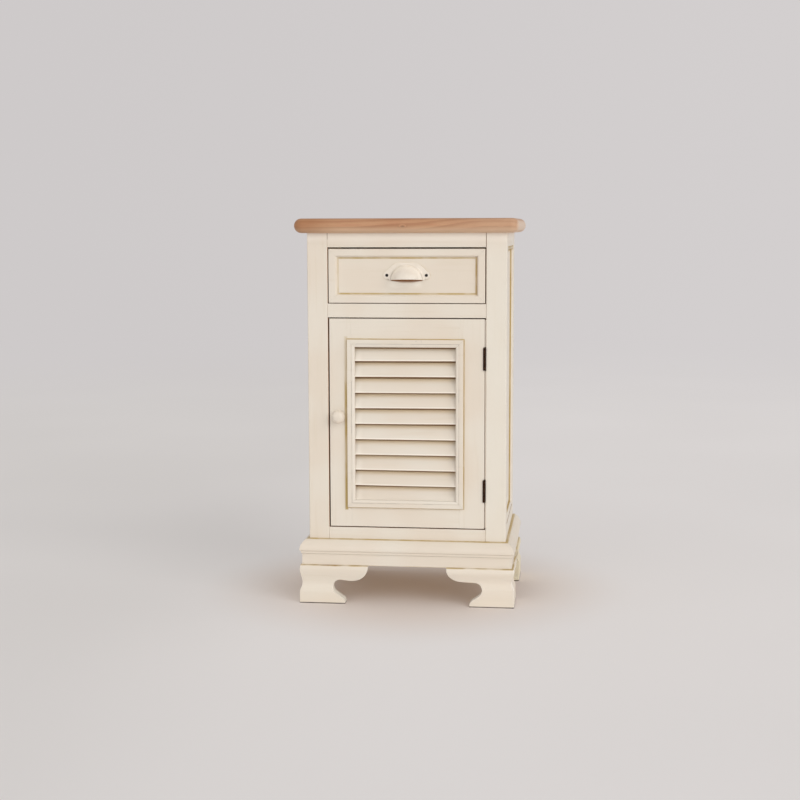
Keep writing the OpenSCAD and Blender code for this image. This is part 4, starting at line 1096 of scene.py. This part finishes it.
def make_slats():
    """Louvre slats with square lower edges, each a hair out of true as fitted by hand."""
    low, high = span("louvre_slats")
    middle_y = (DOOR_LOW.y + span("door_stile_knob")[1].y) / 2
    top_limit = span("door_rail_top")[0].z - 0.2
    half_rise = SLAT_T / 2 + (SLAT_W - SLAT_T) / 2 * math.cos(SLAT_TILT)
    r = 0.8
    half_l, half_t = SLAT_W / 2, SLAT_T / 2
    section = [point
               for cx, cy, start in ((half_l - r, half_t - r, 0), (r - half_l, half_t - r, 90),
                                     (r - half_l, r - half_t, 180), (half_l - r, r - half_t, 270))
               for point in arc(cx, cy, r, start, start + 90, 3)]
    rand = random.Random(7)
    bm = bmesh.new()
    along_layer = bm.verts.layers.float.new("along")
    under_layer = bm.faces.layers.float.new("under")
    for (lowest, _), (left_lift, right_lift) in zip(solid_heights("louvre_slats"), SLAT_LIFTS):
        tilt = SLAT_TILT + math.radians(rand.uniform(-0.5, 0.3))
        bow = rand.uniform(-0.2, 0.2)
        loops = []
        for i in range(9):
            x = low.x + (high.x - low.x) * i / 8
            sag = bow * math.sin(math.pi * i / 8) + left_lift + (right_lift - left_lift) * i / 8
            loops.append([(x, middle_y + s * math.sin(tilt) - t * math.cos(tilt),
                           lowest + half_rise + s * math.cos(tilt) + t * math.sin(tilt) + sag)
                          for s, t in section])
        before = set(bm.faces)
        for row in add_solid(bm, loops):
            for vert, (s, _) in zip(row, section):
                vert[along_layer] = (s + half_l) / SLAT_W
        for face in set(bm.faces) - before:
            if all(v[along_layer] < 0.03 for v in face.verts):
                face[under_layer] = 1.0
    cut = bmesh.ops.bisect_plane(bm, geom=list(bm.verts) + list(bm.edges) + list(bm.faces), dist=0.001,
                                 plane_co=(0, 0, top_limit), plane_no=(0, 0, 1), clear_outer=True)
    rim = [e for e in cut["geom_cut"] if isinstance(e, bmesh.types.BMEdge)]
    bmesh.ops.edgenet_fill(bm, edges=rim)
    place_piece("louvre_slats", "boards", "door", bm, PAINT["slats"], 50)


def make_knob():
    """Turned knob: a flared foot, a neck and a round head with a flat crown."""
    low, high = span("door_knob")
    centre = ((low.x + high.x) / 2, high.y, (low.z + high.z) / 2)
    head_r = (high.x - low.x) / 2
    reach = high.y - low.y
    neck_r = head_r / 2
    profile = [
        (neck_r + 1, 0), (neck_r + 1, 0.8),
        *curve((neck_r + 0.7, 1.4), (neck_r - 0.6, 2.6), (neck_r - 0.9, 4.5), (neck_r + 0.2, 6.4), 8),
        *curve((neck_r + 0.4, 6.6), (head_r - 1.5, 7.2), (head_r, 9.5), (head_r, 12.4), 9)[1:],
        *curve((head_r, 12.4), (head_r, 17.5), (head_r * 0.68, reach - 0.9),
               (head_r * 0.42, reach - 0.5), 10)[1:],
        (head_r * 0.3, reach - 0.2), (head_r * 0.12, reach),
    ]
    bm = bmesh.new()
    turned(bm, profile, centre, (0, -1, 0), 48)
    place_piece("door_knob", "turned", "door", bm, ENAMEL_KNOB, 50)


def plate_outline(half_gap):
    """Outline of the pull's plate over its lower edge, from the cup's left end round to its right."""
    crown_x, crown_z = 15.0, 31.6
    end = arc(-half_gap, PULL_SCREW_RISE, PLATE_END_R, 270, 128, 12)
    rise = curve(end[-1], (-half_gap + 3.5, 20.5), (-26, crown_z - 2), (-crown_x, crown_z), 12)[1:]
    left = [(-30.2, PULL_SCREW_RISE - PLATE_END_R), *end, *rise, (-crown_x / 2, crown_z)]
    return left + [(0, crown_z)] + [(-x, z) for x, z in reversed(left)]


def make_pull():
    """Pressed cup pull: a plate with a soft edge, a hollow in its corner, and a thin round cup."""
    screws_low, screws_high = span("pull_screws")
    outline = plate_outline((screws_high.x - screws_low.x) / 2 - SCREW_HEAD_R)
    half_w, reach = 28.75, CUP_HIGH.y - CUP_LOW.y
    count = len(outline)
    fillet = 4.0
    turns = [math.pi * i / (count - 1) for i in range(count)]

    def cup_ring(share, out):
        grow = fillet * share
        return [(-(half_w + grow) * math.cos(t), -CUP_WALL - out, (reach + grow) * math.sin(t))
                for t in turns]

    def cup_row(inset, around):
        half, radius = half_w - inset, reach - inset
        return [(-half * math.cos(t), -radius * math.sin(t) * math.sin(around),
                 radius * math.sin(t) * math.cos(around)) for t in turns]

    def plate_row(inset, out):
        rows = []
        for x, z in outline:
            shrink = Vector((x, z - 12)).normalized() * inset
            rows.append((x - shrink.x, -out, max(z - shrink.y, PULL_SCREW_RISE - PLATE_END_R)))
        return rows

    start, lip = math.radians(10), math.radians(85)
    loops = [plate_row(0, 0), plate_row(0, CUP_WALL - 0.7), plate_row(0.25, CUP_WALL - 0.2),
             plate_row(0.8, CUP_WALL), cup_ring(1, 0), cup_ring(0.55, 0.4), cup_ring(0.22, 1.2),
             cup_ring(0.05, 2.2)]
    loops += [cup_row(0, start + (lip - start) * i / 12) for i in range(13)]
    loops += [cup_row(CUP_WALL / 2, lip + 0.03)]
    loops += [cup_row(CUP_WALL, lip * (1 - i / 12)) for i in range(13)]
    bm = bmesh.new()
    rows = add_loops(bm, [[(x, CUP_HIGH.y + y, CUP_LOW.z + z) for x, y, z in loop] for loop in loops],
                     closed=False)
    for i in range(count - 1):
        bm.faces.new((rows[0][i], rows[0][i + 1], rows[-1][i + 1], rows[-1][i]))
    bm.faces.new([row[0] for row in rows])
    bm.faces.new([row[-1] for row in reversed(rows)])
    bmesh.ops.remove_doubles(bm, verts=bm.verts, dist=0.01)
    place_piece("cup_pull", "pressed", "drawer", bm, ENAMEL_PULL, 45)


def make_pull_screws():
    """Two black screws with domed heads and cross recesses."""
    low, high = span("pull_screws")
    face, z = CUP_HIGH.y - CUP_WALL, (low.z + high.z) / 2
    dome = [(SCREW_HEAD_R, 0), (SCREW_HEAD_R, 0.35), (2.45, 0.75), (1.9, 1.1), (1.1, 1.3), (0.4, 1.35)]
    shank = [(1.5, 0.05), (1.5, high.y - face - 1.2), (0.5, high.y - face)]
    cutters = []
    bm = bmesh.new()
    for x in (low.x + SCREW_HEAD_R, high.x - SCREW_HEAD_R):
        turned(bm, dome, (x, face, z), (0, -1, 0), 32)
        turned(bm, shank, (x, face, z), (0, 1, 0), 20)
        for wide, tall in ((2.7, 0.55), (0.55, 2.7)):
            cutters.append(bmesh.new())
            rounded_box(cutters[-1], (x - wide / 2, face - 2, z - tall / 2),
                        (x + wide / 2, face - 0.75, z + tall / 2), 0.1)
    place_piece("pull_screws", "black", "drawer", carved(bm, cutters), BLACK_STEEL, 35)


def make_gap_strips():
    """Thin strips in cream paint on the post in the door's hinge gap, clear of the hinges: painted light that
    lifts the gap's shade.
    """
    (pin_a, pin_b), (pin_c, pin_d) = solid_heights("hinge_pins")
    bm = bmesh.new()
    for start, end in ((DOOR_LOW.z, pin_a), (pin_b, pin_c), (pin_d, DOOR_HIGH.z)):
        rounded_box(bm, (DOOR_HIGH.x + 0.85, FACE_Y + 1.2, start + 1.2), (OPEN_X, FACE_Y + 8, end - 1.2), 0.3)
    # Pale strips as painted light in the hinge gap
    place_piece("hinge_gap_light", "strips", "cabinet", bm, PAINT["back"], stands_in=False)


def make_catch():
    """Magnetic catch: a plastic body on the post, and two steel strips at its front."""
    low, high = span("door_catch")
    bm = bmesh.new()
    rounded_box(bm, (low.x, low.y + 1.2, low.z), high, 1.0)
    place_piece("door_catch", "body", "cabinet", bm, BROWN_PLASTIC)
    poles = bmesh.new()
    for share in (0.3, 0.62):
        x = low.x + (high.x - low.x) * share
        rounded_box(poles, (x, low.y, low.z + 3), (x + 1.6, high.y - 3, high.z - 3), 0.2)
    place_piece("door_catch", "poles", "cabinet", poles, ZINC, stands_in=False)


# Stage, light and camera

CAMERA_PLACE = (313.08, -2803.22, 685.98)
CAMERA_YAW = 0.120909
CAMERA_PITCH = 0.114634
CAMERA_ROLL = -0.00244228
FOCAL_PX = 1500
IMAGE_PX = 800
BACKDROP_LEFT = srgb(206, 202, 202)
BACKDROP_RIGHT = srgb(211, 207, 207)
# Share of each direction's X part where the backdrop's colour turns from left to right
BACKDROP_TURN = (-0.4, 0.2)
FLOOR_DEEP = srgb(232, 228, 226)
FLOOR_PALE = srgb(246, 242, 241)
# Colours that the seen floor tends to: at its left and right, and close to the object, where it is a warm
# painted shadow
FLOOR_LEFT = srgb(208, 204, 202)
FLOOR_RIGHT = srgb(216, 211, 210)
FLOOR_SHADOW_TINT = srgb(179, 146, 118)
FLOOR_RADIUS_M = 40
WORLD_COLOUR = (1.0, 0.995, 0.985, 1)
WORLD_STRENGTH = 0.58


def make_camera():
    """The photograph's camera, found from the object's straight lines."""
    camera = bpy.data.cameras.new("camera")
    camera.sensor_width = 36
    camera.lens = camera.sensor_width * FOCAL_PX / IMAGE_PX
    camera.clip_start = 0.05
    camera.clip_end = 100
    made = in_scene("camera", camera)
    made.matrix_world = (Matrix.Translation(Vector(CAMERA_PLACE) * MM) @ Matrix.Rotation(CAMERA_YAW, 4, "Z")
                         @ Matrix.Rotation(math.pi / 2 - CAMERA_PITCH, 4, "X")
                         @ Matrix.Rotation(CAMERA_ROLL, 4, "Z"))
    bpy.context.scene.camera = made


def make_floor():
    """Wide pale floor that keeps the object's shadow, lifted by a painted glow that the camera sees and tinted
    warm as painted shadow close to the object, and runs out into the backdrop's colour.
    """
    g = Graph("studio_floor")
    away = g.math("SQRT", g.x * g.x + g.y * g.y)
    # Darker to the object's left and paler to its right: painted shade and light on the floor, with faint
    # random patches
    shade = g.noise(900, detail=1).ramp(0.3, 0.7, high=0.25) + g.x.ramp(-560, -120, high=0.75)
    g.finish(g.mix(shade, FLOOR_DEEP, FLOOR_PALE), 0.9, Specular_IOR_Level=0.0)
    far = g.mix((g.x / away).ramp(*BACKDROP_TURN), BACKDROP_LEFT, BACKDROP_RIGHT)
    shown = g.mix(g.x.ramp(-1500, 600), FLOOR_LEFT, FLOOR_RIGHT)
    # Painted shadow: warm brown close to the object
    shown = g.over(shown, [(away.ramp(900, 5000), far), (away.ramp(430, 170), FLOOR_SHADOW_TINT)])
    glow = g.node("ShaderNodeEmission", shown)
    # Painted glow seen by the camera: a share near the object that lifts its shadow, and all of it far out
    mix = g.node("ShaderNodeMixShader", g.seen() * away.ramp(1200, 6500, low=0.3), g.out(g.shader),
                 g.out(glow))
    g.put(g.tree.nodes["Material Output"].inputs["Surface"], g.out(mix))
    bm = bmesh.new()
    bmesh.ops.create_circle(bm, cap_ends=True, segments=96, radius=FLOOR_RADIUS_M)
    mesh = bpy.data.meshes.new("studio_floor")
    bm.to_mesh(mesh)
    bm.free()
    mesh.materials.append(g.material)
    in_scene("studio_floor", mesh)


def make_world():
    """Even pale light from all round, with the backdrop's colour where it is seen."""
    world = bpy.data.worlds.new("studio")
    bpy.context.scene.world = world
    g = Nodes(world)
    light = g.tree.nodes["Background"]
    light.inputs["Color"].default_value = WORLD_COLOUR
    light.inputs["Strength"].default_value = WORLD_STRENGTH
    across = g.split(g.out(g.node("ShaderNodeTexCoord"), "Generated"))[0]
    shown = g.mix(across.ramp(*BACKDROP_TURN), BACKDROP_LEFT, BACKDROP_RIGHT)
    backdrop = g.node("ShaderNodeBackground", shown)
    mix = g.node("ShaderNodeMixShader", g.seen(), g.out(light), g.out(backdrop))
    g.put(g.tree.nodes["World Output"].inputs["Surface"], g.out(mix))


def make_light(name, toward, strength, angle, colour):
    """Soft far light. toward is the direction that it shines in."""
    sun = bpy.data.lights.new(name, "SUN")
    sun.energy = strength
    sun.angle = math.radians(angle)
    sun.color = colour
    made = in_scene(name, sun)
    made.rotation_mode = "QUATERNION"
    made.rotation_quaternion = Vector(toward).to_track_quat("-Z", "Y")


make_boards()
keep_small_nodes()
make_top()
make_plinth()
make_feet()
make_border()
make_louvre_moulding()
make_recess_mouldings()
make_slats()
make_knob()
make_pull()
make_pull_screws()
make_gap_strips()
make_catch()
make_camera()
make_floor()
make_world()
make_light("key_light", (-0.7, 0.64, -0.4), 1.1, 45, (1.0, 0.99, 0.975))
make_light("fill_light", (0.35, 0.9, -0.12), 0.68, 70, (1.0, 0.985, 0.97))
bpy.context.scene.view_settings.view_transform = "Standard"
